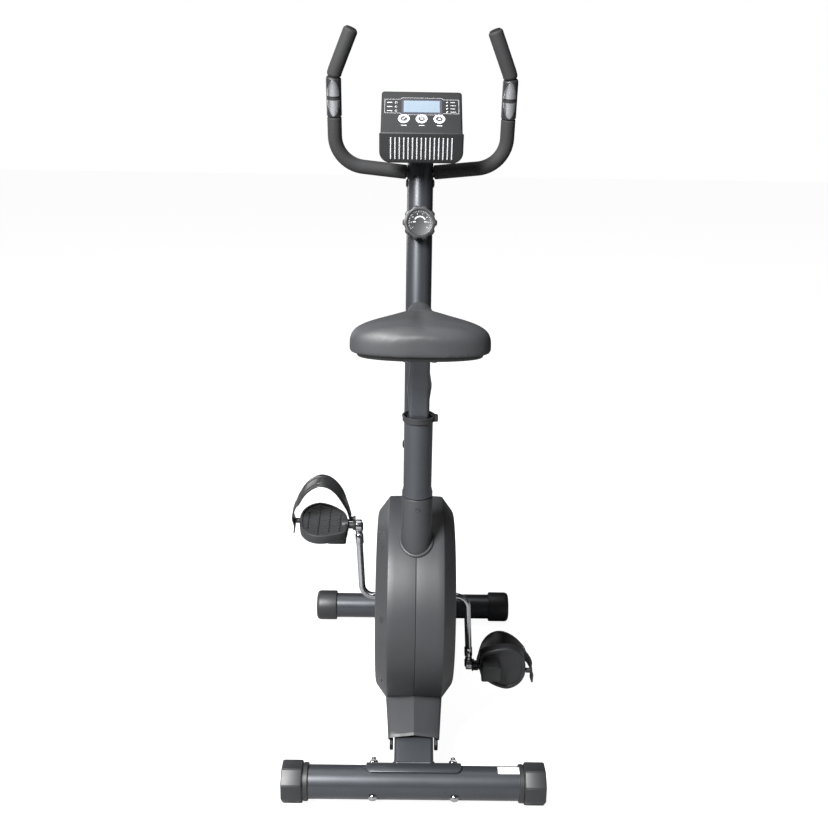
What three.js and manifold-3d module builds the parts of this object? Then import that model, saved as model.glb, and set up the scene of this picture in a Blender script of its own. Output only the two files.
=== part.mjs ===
// An upright magnetic exercise bike, as a scene graph of named meshes.
// Millimetres. +Z is up, +Y the way the rider faces, +X the rider's right.
// The origin is on the floor, midway between the two feet, in the bike's middle plane.
import * as THREE from "three";
import { mergeVertices } from "three/addons/utils/BufferGeometryUtils.js";
import Module from "manifold-3d";

const wasm = await Module();
wasm.setup();

// Clearances
const contactGap = 0.3; // between pieces that touch
const runningGap = 0.5; // between a piece and the bore or slot that it moves in
const visibleGap = 1.2; // around a tube where it passes through a moulding

// Feet
const footSpacing = 714; // between the centres of the two foot tubes
const footTubeDiameter = 60;
const footTubeWall = 2;
const footWidth = 480; // over the caps
const rearCapSize = 71; // across the flats of the levelling cap
const rearCapLength = 38;
const rearCapCollar = { length: 10, diameter: 68 };
const frontCapSize = 72;
const frontCapLength = 50;
const rearCapDepth = 28; // how far the rear foot tube goes into its caps
const frontCapDepth = 11;
const wheel = { diameter: 44, width: 16, pin: 8, sideGap: 1.2, roomAround: 2.5, floorGap: 4 };
const saddle = { width: 174, thickness: 4, halfAngle: 90, boltSpread: 148 };
const footBolt = { diameter: 8, head: 16, headHeight: 5, nut: 13, nutHeight: 9, washer: 19 };

// Lower frame
const beam = { width: 73, height: 44, corner: 7, wall: 2.5, bend: 90 };
const beamRise = 158; // height of the beam's level middle
const drainHole = 10; // in the beam's underside
const beamKnee = 80; // where the level middle ends, ahead of and behind the origin

// Crank and drive
const crankCentre = { y: -80, z: 275 };
const crankLength = 152;
const crankRod = 14; // diameter of the one-piece crank
const crankReach = { axle: 106, end: 114 }; // half width over the bends and at the pedals
const crankBend = 24;
const crankBoss = { diameter: 24, width: 14 };
const crankShell = { diameter: 52, halfWidth: 36, cupDepth: 10, wall: 6 };
const crankPost = { width: 40, depth: 30 };
const pulley = { radius: 120, from: 42, width: 12, rim: 6, web: 4, hub: 22 };
const flywheelCentre = { y: 110, z: 250 };
const flywheel = { radius: 120, from: -64, width: 24, rim: 22, web: 10, hub: 24, axle: 12 };
const smallPulleyRadius = 20;
const belt = { thickness: 2.4, width: 9 };
const flywheelBoss = { diameter: 40, halfWidth: 30, web: 24, webHeight: 40 };
const magnet = { gap: 4, thickness: 8, low: -70, high: 15, boss: 9, pin: 8 };

// Housing
const housing = { rearRadius: 203, frontRadius: 160, bandHalf: 54, sideHalf: 76, bevel: 34, wall: 3 };
const crankHole = 18; // radius of the hole that the crank passes through
const tubeCover = { wall: 5.5, top: 395, bottom: 205 };
const shroud = { start: 76, end: 215, halfStart: 46, halfEnd: 55, low: 32, edge: 26, ridge: 36, wall: 2.5 };

// Seat tube and seat
const tubeDiameter = 54;
const tubeWall = 2;
const seatTubeFoot = { y: -171, z: 142 };
const seatTubeLean = 3.74; // degrees back from upright
const seatTubeLength = 541;
const sleeve = { rim: 64, rimHeight: 11, depth: 125 };
const post = { size: 36, corner: 6, wall: 2, insertion: 205, kink: 67, kinkLean: 18, upper: 67 };
const postPlate = { width: 64, length: 96, thickness: 4 };
const lockKnob = { drop: 34, diameter: 46, thickness: 24, pin: 9, boss: 22, bossLength: 14 };
const lockHoles = { pitch: 25, above: 1, below: 4 };
const seat = { width: 249, rear: -332, nose: -68, noseWidth: 52, widest: -262, height: 66, edge: 12 };
const seatPan = { inset: 0.86, thickness: 7 };

// Mast and handlebar
const mastFoot = { y: 33, z: beamRise };
const mastLean = 10.03; // degrees forward from upright
const mastFrom = 305; // lower end of the outer mast, along its axis
const mastLength = 700;
const socketTop = 440; // upper end of the lower stub inside the mast
const lowerBoltAt = 390;
const crossbarAt = 958; // the handlebar's crossbar, along the mast's axis
const stemBelow = 80; // how far the handlebar's stem goes down below the crossbar
const upperBoltAt = 938;
const mastBolt = { diameter: 8, head: 13, headHeight: 5 };
const bar = { diameter: 22, wall: 2, slope: 6, armHalf: 176, topHalf: 139, top: 286, slotGap: 3 };
const barShoulder = 197; // where each arm turns inwards, above the crossbar
const barLean = 15.8; // degrees back from upright
const barBend = { low: 64, high: 58, steps: 4 };
const foam = { diameter: 29, sides: 10 };
const sensor = { pastArm: 115.5, length: 78, radius: 15.4, plate: 17, band: 9 };
const tensionKnob = { at: 853, radius: 33.6, tooth: 2, teeth: 10, height: 17, shaft: 12, shaftDepth: 15 };
const knobBase = { radius: 30, height: 8, wrap: 12 };
const cable = { diameter: 5, exit: 246, exitRadius: 12, besideBolt: 14 };

// Console
const consoleHalf = 83;
const consoleLow = { y: 100, z: 1125 };
const consoleWaist = { y: 84, z: 1182 };
const panelLength = 115;
const panelTilt = 45; // degrees from upright
const faceThickness = 13;
const backDepth = 26;
const consoleMount = { halfWidth: 20, low: 1136, high: 1160, length: 60 };
const screenWindow = { width: 72, height: 38, at: 71, depth: 3 };
const button = { diameter: 23, pitch: 35, at: 38, proud: 1.6, thickness: 5, travel: 1.2 };

// Pedals
const pedal = { inset: 25, thickness: 24, bevel: 3, boreDepth: 84, spindle: 14 };
const pedalOutline = [
  [-3, -26], [-3, 5], [2, 26], [12, 38], [26, 49], [42, 57], [58, 60], [73, 54], [85, 42],
  [92, 25], [93, 5], [91, -12], [86, -27], [74, -40], [58, -47], [40, -47], [22, -42], [6, -36],
];
const counterweight = { width: 38, length: 38, drop: 24 };
const pedalPitch = { left: 18, right: -78 }; // degrees, toe up
const strap = { thickness: 3.2, width: 40, from: -5 };
const strapLine = [
  [-8, 8], [-4, 28], [2, 48], [9, 66], [20, 84], [34, 96], [50, 99], [66, 91], [80, 76],
  [90, 58], [102, 34], [107, 12], [104, -8], [106, -26],
];

const radians = THREE.MathUtils.degToRad;
const sine = (angle) => Math.sin(radians(angle));
const cosine = (angle) => Math.cos(radians(angle));
const tangent = (angle) => Math.tan(radians(angle));
const point = (x, y, z) => new THREE.Vector3(x, y, z);

// Materials
function material(color, roughness, metalness) {
  return new THREE.MeshStandardMaterial({ color, roughness, metalness });
}
const framePaint = () => material(0x41454c, 0.42, 0.5);
const blackPaint = () => material(0x1d1e20, 0.45, 0.3);
const housingPlastic = () => material(0x2c2d30, 0.62, 0);
const trimPlastic = () => material(0x232426, 0.55, 0);
const foamRubber = () => material(0x1e1f21, 0.9, 0);
const seatCover = () => material(0x38393b, 0.72, 0);
const chrome = () => material(0xc9cbce, 0.12, 1);
const zincSteel = () => material(0xa9abad, 0.35, 0.9);
const castIron = () => material(0x55575a, 0.6, 0.7);
const beltRubber = () => material(0x161617, 0.85, 0);
const silverPlate = () => material(0xb9bcc0, 0.25, 0.9);
const screenGlass = () => material(0x7f909b, 0.2, 0);
const buttonWhite = () => material(0xe2e3e4, 0.4, 0);

// Solids
function solidOf(geometry) {
  const bare = geometry.clone();
  bare.deleteAttribute("normal");
  bare.deleteAttribute("uv");
  const merged = mergeVertices(bare, 1e-4);
  return new wasm.Manifold(
    new wasm.Mesh({
      numProp: 3,
      vertProperties: merged.attributes.position.array,
      triVerts: new Uint32Array(merged.index.array),
    }),
  );
}

function geometryOf(solid) {
  const mesh = solid.getMesh();
  const geometry = new THREE.BufferGeometry();
  geometry.setAttribute("position", new THREE.BufferAttribute(mesh.vertProperties, 3));
  geometry.setIndex(new THREE.BufferAttribute(mesh.triVerts, 1));
  return geometry;
}

function join(...geometries) {
  return geometryOf(geometries.map(solidOf).reduce((whole, piece) => whole.add(piece)));
}

function cut(geometry, ...tools) {
  return geometryOf(tools.map(solidOf).reduce((whole, tool) => whole.subtract(tool), solidOf(geometry)));
}

function keep(geometry, region) {
  return geometryOf(solidOf(geometry).intersect(solidOf(region)));
}

// Flat outlines
function circlePoints(radius, sides, turn = 0) {
  return Array.from({ length: sides }, (_, i) => {
    const angle = ((i + turn) / sides) * 2 * Math.PI;
    return new THREE.Vector2(radius * Math.cos(angle), radius * Math.sin(angle));
  });
}

const disc = (radius, sides, turn) => new THREE.Shape(circlePoints(radius, sides, turn));

function ring(outer, inner, sides) {
  const shape = disc(outer, sides);
  shape.holes.push(new THREE.Path(circlePoints(inner, sides)));
  return shape;
}

function roundedPoints(width, height, radius, steps = 2) {
  const corners = [[1, 1], [-1, 1], [-1, -1], [1, -1]];
  return corners.flatMap(([sx, sy], corner) =>
    Array.from({ length: steps + 1 }, (_, i) => {
      const angle = radians(90 * (corner + i / steps));
      return new THREE.Vector2(
        sx * (width / 2 - radius) + radius * Math.cos(angle),
        sy * (height / 2 - radius) + radius * Math.sin(angle),
      );
    }),
  );
}

const roundedShape = (width, height, radius) => new THREE.Shape(roundedPoints(width, height, radius));

function boxTube(width, height, radius, wall) {
  const shape = roundedShape(width, height, radius);
  shape.holes.push(new THREE.Path(roundedPoints(width - 2 * wall, height - 2 * wall, radius - wall)));
  return shape;
}

const polygon = (points) => new THREE.Shape(points.map(([x, y]) => new THREE.Vector2(x, y)));

// A shape pushed along +Z, from one height to another.
function raised(shape, from, to, bevel = 0) {
  const geometry = new THREE.ExtrudeGeometry(shape, {
    depth: to - from - 2 * bevel,
    bevelEnabled: bevel > 0,
    bevelThickness: bevel,
    bevelSize: bevel,
    bevelOffset: -bevel,
    bevelSegments: 1,
  });
  return geometry.translate(0, 0, from + bevel);
}

// A shape drawn in the Y and Z axes, pushed along +X.
const sideways = new THREE.Matrix4().makeBasis(point(0, 1, 0), point(0, 0, 1), point(1, 0, 0));
const across = (shape, from, to, bevel) => raised(shape, from, to, bevel).applyMatrix4(sideways);

const rod = (radius, from, to, sides = 16) => raised(disc(radius, sides), from, to);
const crossRod = (radius, from, to, y, z, sides = 16) =>
  across(disc(radius, sides), from, to).translate(0, y, z);

function block(low, high) {
  const size = high.map((value, i) => value - low[i]);
  return new THREE.BoxGeometry(...size).translate(...low.map((value, i) => value + size[i] / 2));
}

// A solid turned about +Z from [radius, height] pairs that start and end on the axis.
function turned(pairs, sides) {
  const profile = pairs.map(([radius, height]) => new THREE.Vector2(radius, height));
  return new THREE.LatheGeometry(profile, sides).rotateX(Math.PI / 2);
}

// A closed skin over rings of points, each ring running the same way round.
function loft(rings) {
  const count = rings[0].length;
  const centres = [rings[0], rings[rings.length - 1]].map((points) =>
    points.reduce((sum, p) => sum.add(p), point(0, 0, 0)).divideScalar(count),
  );
  const vertices = [...rings.flat(), ...centres];
  const faces = [];
  const firstCentre = rings.length * count;
  const last = (rings.length - 1) * count;
  for (let i = 0; i < count; i++) {
    const next = (i + 1) % count;
    for (let r = 0; r < rings.length - 1; r++) {
      const a = r * count + i;
      const b = r * count + next;
      faces.push(a, b, b + count, a, b + count, a + count);
    }
    faces.push(firstCentre, next, i, firstCentre + 1, last + i, last + next);
  }
  const geometry = new THREE.BufferGeometry().setFromPoints(vertices);
  geometry.setIndex(faces);
  return geometry;
}

// A path through corner points, each inner corner rounded. It has a stop only where it bends.
class Route extends THREE.Curve {
  constructor(stops) {
    super();
    this.stops = stops;
  }
  get steps() {
    return this.stops.length - 1;
  }
  getPoint(t) {
    const place = t * this.steps;
    const i = Math.min(Math.floor(place), this.steps - 1);
    return this.stops[i].clone().lerp(this.stops[i + 1], place - i);
  }
  getPointAt(u) {
    return this.getPoint(u);
  }
  heading(i) {
    const from = THREE.MathUtils.clamp(i, 0, this.steps - 1);
    return this.stops[from + 1].clone().sub(this.stops[from]).normalize();
  }
  getTangentAt(u) {
    const i = Math.round(u * this.steps);
    return this.heading(i - 1).add(this.heading(i)).normalize();
  }
}

function rounded(corners, radii, steps) {
  const stops = [corners[0]];
  corners.slice(1, -1).forEach((corner, i) => {
    const radius = Array.isArray(radii) ? radii[i] : radii;
    const back = corners[i].clone().sub(corner).normalize();
    const ahead = corners[i + 2].clone().sub(corner).normalize();
    const half = back.angleTo(ahead) / 2;
    const reach = radius / Math.tan(half);
    const middle = back.clone().add(ahead).normalize();
    const centre = corner.clone().addScaledVector(middle, radius / Math.sin(half));
    const start = corner.clone().addScaledVector(back, reach).sub(centre);
    const side = corner.clone().addScaledVector(ahead, reach).sub(centre);
    const sweep = start.angleTo(side);
    for (let s = 0; s <= steps; s++) {
      const weightA = Math.sin(sweep * (1 - s / steps)) / Math.sin(sweep);
      const weightB = Math.sin((sweep * s) / steps) / Math.sin(sweep);
      stops.push(centre.clone().addScaledVector(start, weightA).addScaledVector(side, weightB));
    }
  });
  stops.push(corners[corners.length - 1]);
  return new Route(stops);
}

// The stretch of a route between two distances along it.
function stretch(route, from, to) {
  const stops = [];
  let travelled = 0;
  for (let i = 0; i < route.steps; i++) {
    const a = route.stops[i];
    const b = route.stops[i + 1];
    const length = a.distanceTo(b);
    const at = (distance) => a.clone().lerp(b, (distance - travelled) / length);
    if (from >= travelled && from < travelled + length) stops.push(at(from));
    else if (travelled > from && travelled < to) stops.push(a);
    if (to > travelled && to <= travelled + length) stops.push(at(to));
    travelled += length;
  }
  return new Route(stops);
}

function lengthOf(route) {
  return route.stops.slice(1).reduce((sum, stop, i) => sum + stop.distanceTo(route.stops[i]), 0);
}

const swept = (shape, route) =>
  new THREE.ExtrudeGeometry(shape, { steps: route.steps, bevelEnabled: false, extrudePath: route });

function add(group, name, geometry, finish) {
  const mesh = new THREE.Mesh(geometry, finish);
  mesh.name = name;
  group.add(mesh);
  return mesh;
}

function groupAt(parent, x, y, z, turnX = 0) {
  const group = new THREE.Group();
  group.position.set(x, y, z);
  group.rotation.x = radians(turnX);
  group.updateMatrix();
  if (parent) parent.add(group);
  return group;
}

const sides = [["left", -1], ["right", 1]];
const bike = new THREE.Group();
bike.name = "exercise_bike";

const rearFoot = { y: -footSpacing / 2, z: rearCapSize / 2 };
const frontFoot = { y: footSpacing / 2, z: frontCapSize / 2 };
const footRadius = footTubeDiameter / 2;
const tubeRadius = tubeDiameter / 2;
const seatGroup = groupAt(bike, 0, seatTubeFoot.y, seatTubeFoot.z, seatTubeLean);
const mastGroup = groupAt(bike, 0, mastFoot.y, mastFoot.z, -mastLean);

// The beam's path: up from the rear foot, level under the crank, and down to the front foot.
const beamRoute = rounded(
  [
    point(0, rearFoot.y, rearFoot.z),
    point(0, -beamKnee, beamRise),
    point(0, beamKnee, beamRise),
    point(0, frontFoot.y, frontFoot.z),
  ],
  beam.bend,
  3,
);
const beamSolid = (gap) =>
  swept(roundedShape(beam.width + 2 * gap, beam.height + 2 * gap, beam.corner + gap), beamRoute);
const rearSlope = Math.atan2(beamRise - rearFoot.z, -beamKnee - rearFoot.y) / radians(1);
const frontSlope = Math.atan2(beamRise - frontFoot.z, frontFoot.y - beamKnee) / radians(1);

// Feet. Each foot's bolts point from the floor side up the beam.
const feet = [
  { name: "rear", ...rearFoot, towards: rearSlope, tubeHalf: footWidth / 2 - rearCapLength + rearCapDepth },
  {
    name: "front",
    ...frontFoot,
    towards: 180 - frontSlope,
    tubeHalf: footWidth / 2 - frontCapLength + frontCapDepth,
  },
];

function footTube(foot) {
  const tube = across(ring(footRadius, footRadius - footTubeWall, 20), -foot.tubeHalf, foot.tubeHalf);
  const holes = sides.map(([, side]) =>
    rod(footBolt.diameter / 2 + runningGap, -2 * footRadius, 2 * footRadius, 8)
      .rotateX(radians(foot.towards - 90))
      .translate((side * saddle.boltSpread) / 2, 0, 0),
  );
  return cut(tube, ...holes).translate(0, foot.y, foot.z);
}

function footBoltShape(foot, side) {
  const seatRadius = footRadius + saddle.thickness + 2 * contactGap;
  const head = turned(
    [
      [0, -footRadius - contactGap - footBolt.headHeight],
      [footBolt.head * 0.3, -footRadius - contactGap - footBolt.headHeight + 1],
      [footBolt.head / 2, -footRadius - contactGap - 1],
      [footBolt.head / 2, -footRadius - contactGap],
      [0, -footRadius - contactGap],
    ],
    10,
  );
  const shaft = rod(footBolt.diameter / 2, -footRadius - 2, seatRadius + footBolt.nutHeight, 8);
  const washer = rod(footBolt.washer / 2, seatRadius, seatRadius + 1.5, 10);
  const nut = rod(footBolt.nut / 2, seatRadius + 1, seatRadius + footBolt.nutHeight + 2, 6);
  return join(head, shaft, washer, nut)
    .rotateX(radians(foot.towards - 90))
    .translate((side * saddle.boltSpread) / 2, foot.y, foot.z);
}

// A cap of any outline, hollow for the tube's end. It is built along +X from the inner face.
function capShape(outline, length, collar) {
  const inner = footWidth / 2 - length;
  const body = across(outline, inner, footWidth / 2, 3);
  const outer = collar
    ? join(body, across(disc(collar.diameter / 2, 16), inner - collar.length, inner + 4))
    : body;
  const tubeRoom = disc(footRadius + contactGap, 24);
  return cut(outer, across(tubeRoom, inner - 60, inner + rearCapDepth + contactGap));
}

// The transport wheels reach as far forward as the rear caps reach back.
const wheelForward = (rearCapSize - wheel.diameter) / 2;
const wheelCentre = { y: frontFoot.y + wheelForward, z: wheel.diameter / 2 + wheel.floorGap };
const wheelMiddle = footWidth / 2 - frontCapLength / 2 - 2;

// A round cap with a slot low at its front, where the wheel turns on a pin.
function frontCap(side) {
  const slotHalf = wheel.width / 2 + wheel.sideGap;
  const drop = wheelCentre.z - frontFoot.z;
  const inner = footWidth / 2 - frontCapLength;
  const roomRadius = wheel.diameter / 2 + wheel.roomAround;
  const outline = disc(frontCapSize / 2 / cosine(7.5), 24, 0.5);
  const slotFrom = wheelMiddle - slotHalf;
  const slotTo = wheelMiddle + slotHalf;
  const slot = crossRod(roomRadius, slotFrom, slotTo, wheelForward, drop, 20);
  const pin = crossRod(wheel.pin / 2, slotFrom - 1, slotTo + 1, wheelForward, drop, 10);
  const tubeEnd = inner + frontCapDepth + contactGap;
  const tubeRoom = across(disc(footRadius + contactGap, 24), inner - 20, tubeEnd);
  const body = cut(across(outline, inner, footWidth / 2, 4), tubeRoom, slot);
  return mirrored(join(body, pin), side).translate(0, frontFoot.y, frontFoot.z);
}

// A geometry mirrored by a negative scale needs its faces turned back.
function mirrored(geometry, side) {
  if (side > 0) return geometry;
  const flipped = (geometry.index ? geometry.toNonIndexed() : geometry).scale(-1, 1, 1);
  const array = flipped.attributes.position.array;
  for (let i = 0; i < array.length; i += 9) {
    for (let k = 0; k < 3; k++) {
      [array[i + 3 + k], array[i + 6 + k]] = [array[i + 6 + k], array[i + 3 + k]];
    }
  }
  flipped.deleteAttribute("normal");
  flipped.deleteAttribute("uv");
  return flipped;
}

function addFeet() {
  add(bike, "rear_foot_tube", footTube(feet[0]), framePaint());
  add(bike, "front_foot_tube", footTube(feet[1]), framePaint());
  for (const [word, side] of sides) {
    const flat = rearCapSize / 2 / cosine(22.5);
    const rearCap = capShape(disc(flat, 8, 0.5), rearCapLength, rearCapCollar);
    add(
      bike,
      "rear_" + word + "_levelling_cap",
      mirrored(rearCap, side).translate(0, rearFoot.y, rearFoot.z),
      trimPlastic(),
    );
    add(bike, "front_" + word + "_end_cap", frontCap(side), trimPlastic());
    add(bike, word + "_transport_wheel", transportWheel(side), trimPlastic());
    for (const foot of feet) {
      add(bike, foot.name + "_" + word + "_foot_bolt", footBoltShape(foot, side), chrome());
    }
  }
}

function transportWheel(side) {
  const middle = side * wheelMiddle;
  const shape = ring(wheel.diameter / 2, wheel.pin / 2 + runningGap, 18);
  return across(shape, middle - wheel.width / 2, middle + wheel.width / 2).translate(
    0,
    wheelCentre.y,
    wheelCentre.z,
  );
}

// Lower frame: the beam with a saddle plate welded at each end, and the magnet bracket's pin.
function saddlePlate(foot) {
  const outer = footRadius + contactGap + saddle.thickness;
  const shape = new THREE.Shape();
  const from = radians(foot.towards - saddle.halfAngle);
  const to = radians(foot.towards + saddle.halfAngle);
  shape.absarc(0, 0, outer, from, to, false);
  shape.absarc(0, 0, footRadius + contactGap, to, from, true);
  const settings = { depth: saddle.width, bevelEnabled: false, curveSegments: 7 };
  const plate = new THREE.ExtrudeGeometry(shape, settings)
    .applyMatrix4(sideways)
    .translate(-saddle.width / 2, 0, 0);
  const holes = sides.map(([, side]) =>
    rod(footBolt.diameter / 2 + runningGap, 0, 3 * footRadius, 8)
      .rotateX(radians(foot.towards - 90))
      .translate((side * saddle.boltSpread) / 2, 0, 0),
  );
  return cut(plate, ...holes).translate(0, foot.y, foot.z);
}

const magnetRadius = flywheel.radius + magnet.gap + magnet.thickness / 2;
const magnetPivot = {
  y: flywheelCentre.y + magnetRadius * cosine(magnet.low),
  z: flywheelCentre.z + magnetRadius * sine(magnet.low),
};

function lowerFrame() {
  const tube = swept(boxTube(beam.width, beam.height, beam.corner, beam.wall), beamRoute);
  const weld = footRadius + contactGap + saddle.thickness / 2;
  const footRoom = feet.map(({ y, z }) => crossRod(weld, -beam.width, beam.width, y, z, 24));
  const drain = rod(drainHole / 2, beamRise - beam.height, beamRise, 12);
  const { y, z } = magnetPivot;
  const pivotPin = crossRod(magnet.pin / 2, flywheel.from - 2, 4 - beam.width / 2, y, z, 12);
  return join(cut(tube, drain, ...footRoom), ...feet.map(saddlePlate), pivotPin);
}

// The shell that the crank turns in, with its bearing cups, on a post that stands on the beam.
function crankShellShape() {
  const { y, z } = crankCentre;
  const radius = crankShell.diameter / 2;
  const shell = crossRod(radius, -crankShell.halfWidth, crankShell.halfWidth, y, z, 20);
  const stand = block(
    [-crankPost.width / 2, y - crankPost.depth / 2, beamRise],
    [crankPost.width / 2, y + crankPost.depth / 2, z],
  );
  const chamberHalf = crankShell.halfWidth - crankShell.cupDepth;
  const chamber = crossRod(radius - crankShell.wall, -chamberHalf, chamberHalf, y, z, 12);
  const bore = crossRod(crankRod / 2 + runningGap, -2 * radius, 2 * radius, y, z, 14);
  return cut(join(shell, stand), beamSolid(contactGap), chamber, bore);
}

function seatTube() {
  const outer = rod(tubeRadius, -30, seatTubeLength, 24);
  const bore = rod(tubeRadius - tubeWall, -60, seatTubeLength + 5, 24);
  const knobBoss = rod(lockKnob.boss / 2, 0, tubeRadius + lockKnob.bossLength, 16)
    .rotateX(-Math.PI / 2)
    .translate(0, 0, seatTubeLength - lockKnob.drop);
  const pinHole = lockPinRoom();
  const beamRoom = beamSolid(contactGap).applyMatrix4(seatGroup.matrix.clone().invert());
  return cut(join(outer, knobBoss), bore, pinHole, beamRoom);
}

const lockPinRoom = () =>
  rod(lockKnob.pin / 2 + runningGap, 0, tubeRadius + lockKnob.bossLength + 5, 12)
    .rotateX(-Math.PI / 2)
    .translate(0, 0, seatTubeLength - lockKnob.drop);

// The plastic sleeve that the seat post slides in, with the rim on top of the seat tube.
function seatPostSleeve() {
  const rimFrom = seatTubeLength + contactGap;
  const rim = rod(sleeve.rim / 2, rimFrom, rimFrom + sleeve.rimHeight, 24);
  const lugTop = rimFrom + sleeve.rimHeight - 1;
  const lug = block([sleeve.rim / 2 - 6, -9, rimFrom], [sleeve.rim / 2 + 5, 9, lugTop]);
  const liner = rod(tubeRadius - tubeWall - contactGap, seatTubeLength - sleeve.depth, rimFrom + 1, 24);
  const hole = raised(
    roundedShape(post.size + 2 * contactGap, post.size + 2 * contactGap, post.corner + contactGap),
    seatTubeLength - sleeve.depth - 5,
    rimFrom + sleeve.rimHeight + 5,
  );
  return cut(join(rim, lug, liner), hole, lockPinRoom());
}

function seatPost() {
  const bottom = seatTubeLength - post.insertion;
  const kinkAt = seatTubeLength + post.kink;
  const end = point(0, -post.upper * sine(post.kinkLean), kinkAt + post.upper * cosine(post.kinkLean));
  const route = rounded([point(0, 0, bottom), point(0, 0, kinkAt), end], 26, 2);
  const tube = swept(boxTube(post.size, post.size, post.corner, post.wall), route);
  const holes = [];
  for (let i = -lockHoles.below; i <= lockHoles.above; i++) {
    const height = seatTubeLength - lockKnob.drop + i * lockHoles.pitch;
    const hole = rod(lockKnob.pin / 2 + runningGap, 0, post.size, 8);
    holes.push(hole.rotateX(-Math.PI / 2).translate(0, 0, height));
  }
  const plate = raised(roundedShape(postPlate.width, postPlate.length, 8), 0, postPlate.thickness)
    .rotateX(radians(-seatTubeLean))
    .translate(end.x, end.y - 2, end.z - postPlate.thickness / 2);
  const above = raised(roundedShape(200, 200, 8), postPlate.thickness, 60)
    .rotateX(radians(-seatTubeLean))
    .translate(end.x, end.y - 2, end.z - postPlate.thickness / 2);
  return cut(join(cut(tube, ...holes), plate), above);
}

function seatLockKnob() {
  const reach = tubeRadius + lockKnob.bossLength + contactGap;
  const grip = raised(
    new THREE.Shape(
      Array.from({ length: 24 }, (_, i) => {
        const angle = (i / 24) * 2 * Math.PI;
        const radius = lockKnob.diameter / 2 - 1.5 + 1.5 * Math.cos(6 * angle);
        return new THREE.Vector2(radius * Math.cos(angle), radius * Math.sin(angle));
      }),
    ),
    reach,
    reach + lockKnob.thickness,
    3,
  );
  const pin = rod(lockKnob.pin / 2, post.size / 2 + contactGap + runningGap, reach + 2, 12);
  return join(grip, pin)
    .rotateX(-Math.PI / 2)
    .translate(0, 0, seatTubeLength - lockKnob.drop);
}

// The top of the seat post in the bike's own axes, where the seat's underside sits.
const seatMount = point(
  0,
  -post.upper * sine(post.kinkLean) - 2,
  seatTubeLength + post.kink + post.upper * cosine(post.kinkLean) + postPlate.thickness / 2,
).applyMatrix4(seatGroup.matrix);

// Half the seat's width at a place along it: broad wings at the back, a narrow nose in front.
function seatHalfWidth(y) {
  const { width, rear, nose, noseWidth, widest } = seat;
  if (y <= widest) {
    const t = (widest - y) / (widest - rear);
    return (width / 2) * Math.pow(1 - Math.pow(t, 2.6), 0.5);
  }
  const t = (y - widest) / (nose - widest);
  const wing = (width / 2 - noseWidth / 2) * 0.5 * (1 + Math.cos(Math.PI * Math.min(1, t / 0.72)));
  const tip = t > 0.86 ? Math.sqrt(Math.max(0, 1 - Math.pow((t - 0.86) / 0.14, 2))) : 1;
  return (wing + noseWidth / 2) * tip;
}

const seatStations = 14;
function seatRing(y, share, bottom, top) {
  const half = Math.max(seatHalfWidth(y) * share, 3);
  const rim = bottom + Math.min(seat.edge, (top - bottom) * 0.4);
  const arc = Array.from({ length: 11 }, (_, i) => {
    const angle = (1 - i / 10) * Math.PI;
    const rise = Math.pow(Math.sin(angle), 0.62);
    return point(half * Math.cos(angle), y, rim + (top - rim) * rise);
  });
  return [...arc, point(half - 2, y, bottom), point(-half + 2, y, bottom)];
}

function seatLoft(share, bottom, topOf) {
  const length = (seat.nose - seat.rear) * share;
  const middle = (seat.nose + seat.rear) / 2;
  const rings = Array.from({ length: seatStations + 1 }, (_, i) => {
    const t = 0.5 - 0.5 * Math.cos((i / seatStations) * Math.PI);
    const y = middle - length / 2 + length * t;
    const shapeY = seat.rear + 1 + (seat.nose - seat.rear - 2) * t;
    return seatRing(shapeY, share, bottom, topOf(t)).map((p) => point(p.x, y, p.z));
  });
  return loft(rings);
}

function addSeat() {
  add(seatGroup, "seat_tube", seatTube(), framePaint());
  add(seatGroup, "seat_post_sleeve", seatPostSleeve(), trimPlastic());
  add(seatGroup, "seat_post", seatPost(), framePaint());
  add(seatGroup, "seat_lock_knob", seatLockKnob(), trimPlastic());
  const panBottom = seatMount.z + contactGap;
  const cushionBottom = panBottom + seatPan.thickness + contactGap;
  const panTop = () => panBottom + seatPan.thickness;
  add(bike, "seat_pan", seatLoft(seatPan.inset, panBottom, panTop), trimPlastic());
  const crown = (t) => cushionBottom + seat.height * (0.72 + 0.28 * Math.sin(Math.PI * (0.25 + 0.6 * t)));
  add(bike, "seat_cushion", seatLoft(1, cushionBottom, crown), seatCover());
}

// Housing: two arcs joined by tangents, seen from the side. A smaller inset lies further out.
function housingOutline(inset) {
  const dy = flywheelCentre.y - crankCentre.y;
  const dz = flywheelCentre.z - crankCentre.z;
  const tilt = Math.atan2(dz, dy) / radians(1);
  const spread = Math.acos((housing.rearRadius - housing.frontRadius) / Math.hypot(dy, dz)) / radians(1);
  const arc = (centre, radius, from, to, steps) =>
    Array.from({ length: steps + 1 }, (_, i) => {
      const angle = from + ((to - from) * i) / steps;
      return [centre.y + radius * cosine(angle), centre.z + radius * sine(angle)];
    });
  return [
    ...arc(crankCentre, housing.rearRadius - inset, tilt + spread, tilt - spread + 360, 20),
    ...arc(flywheelCentre, housing.frontRadius - inset, tilt - spread, tilt + spread, 13),
  ];
}

function housingSolid(grow) {
  const stations = [
    [-housing.sideHalf - grow, housing.bevel - 0.6 * grow],
    [-housing.bandHalf - 0.4 * grow, -grow],
    [housing.bandHalf + 0.4 * grow, -grow],
    [housing.sideHalf + grow, housing.bevel - 0.6 * grow],
  ];
  return loft(stations.map(([x, inset]) => housingOutline(inset).map(([y, z]) => point(x, y, z))));
}

const seatTubeRoom = (radius, from, to) => rod(radius, from, to, 24).applyMatrix4(seatGroup.matrix);
const mastRoom = (radius, from, to) => rod(radius, from, to, 24).applyMatrix4(mastGroup.matrix);
const sideRegion = (side) =>
  block(
    [Math.min(side * contactGap * 0.5, side * 400), -600, -100],
    [Math.max(side * contactGap * 0.5, side * 400), 600, 900],
  );

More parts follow.
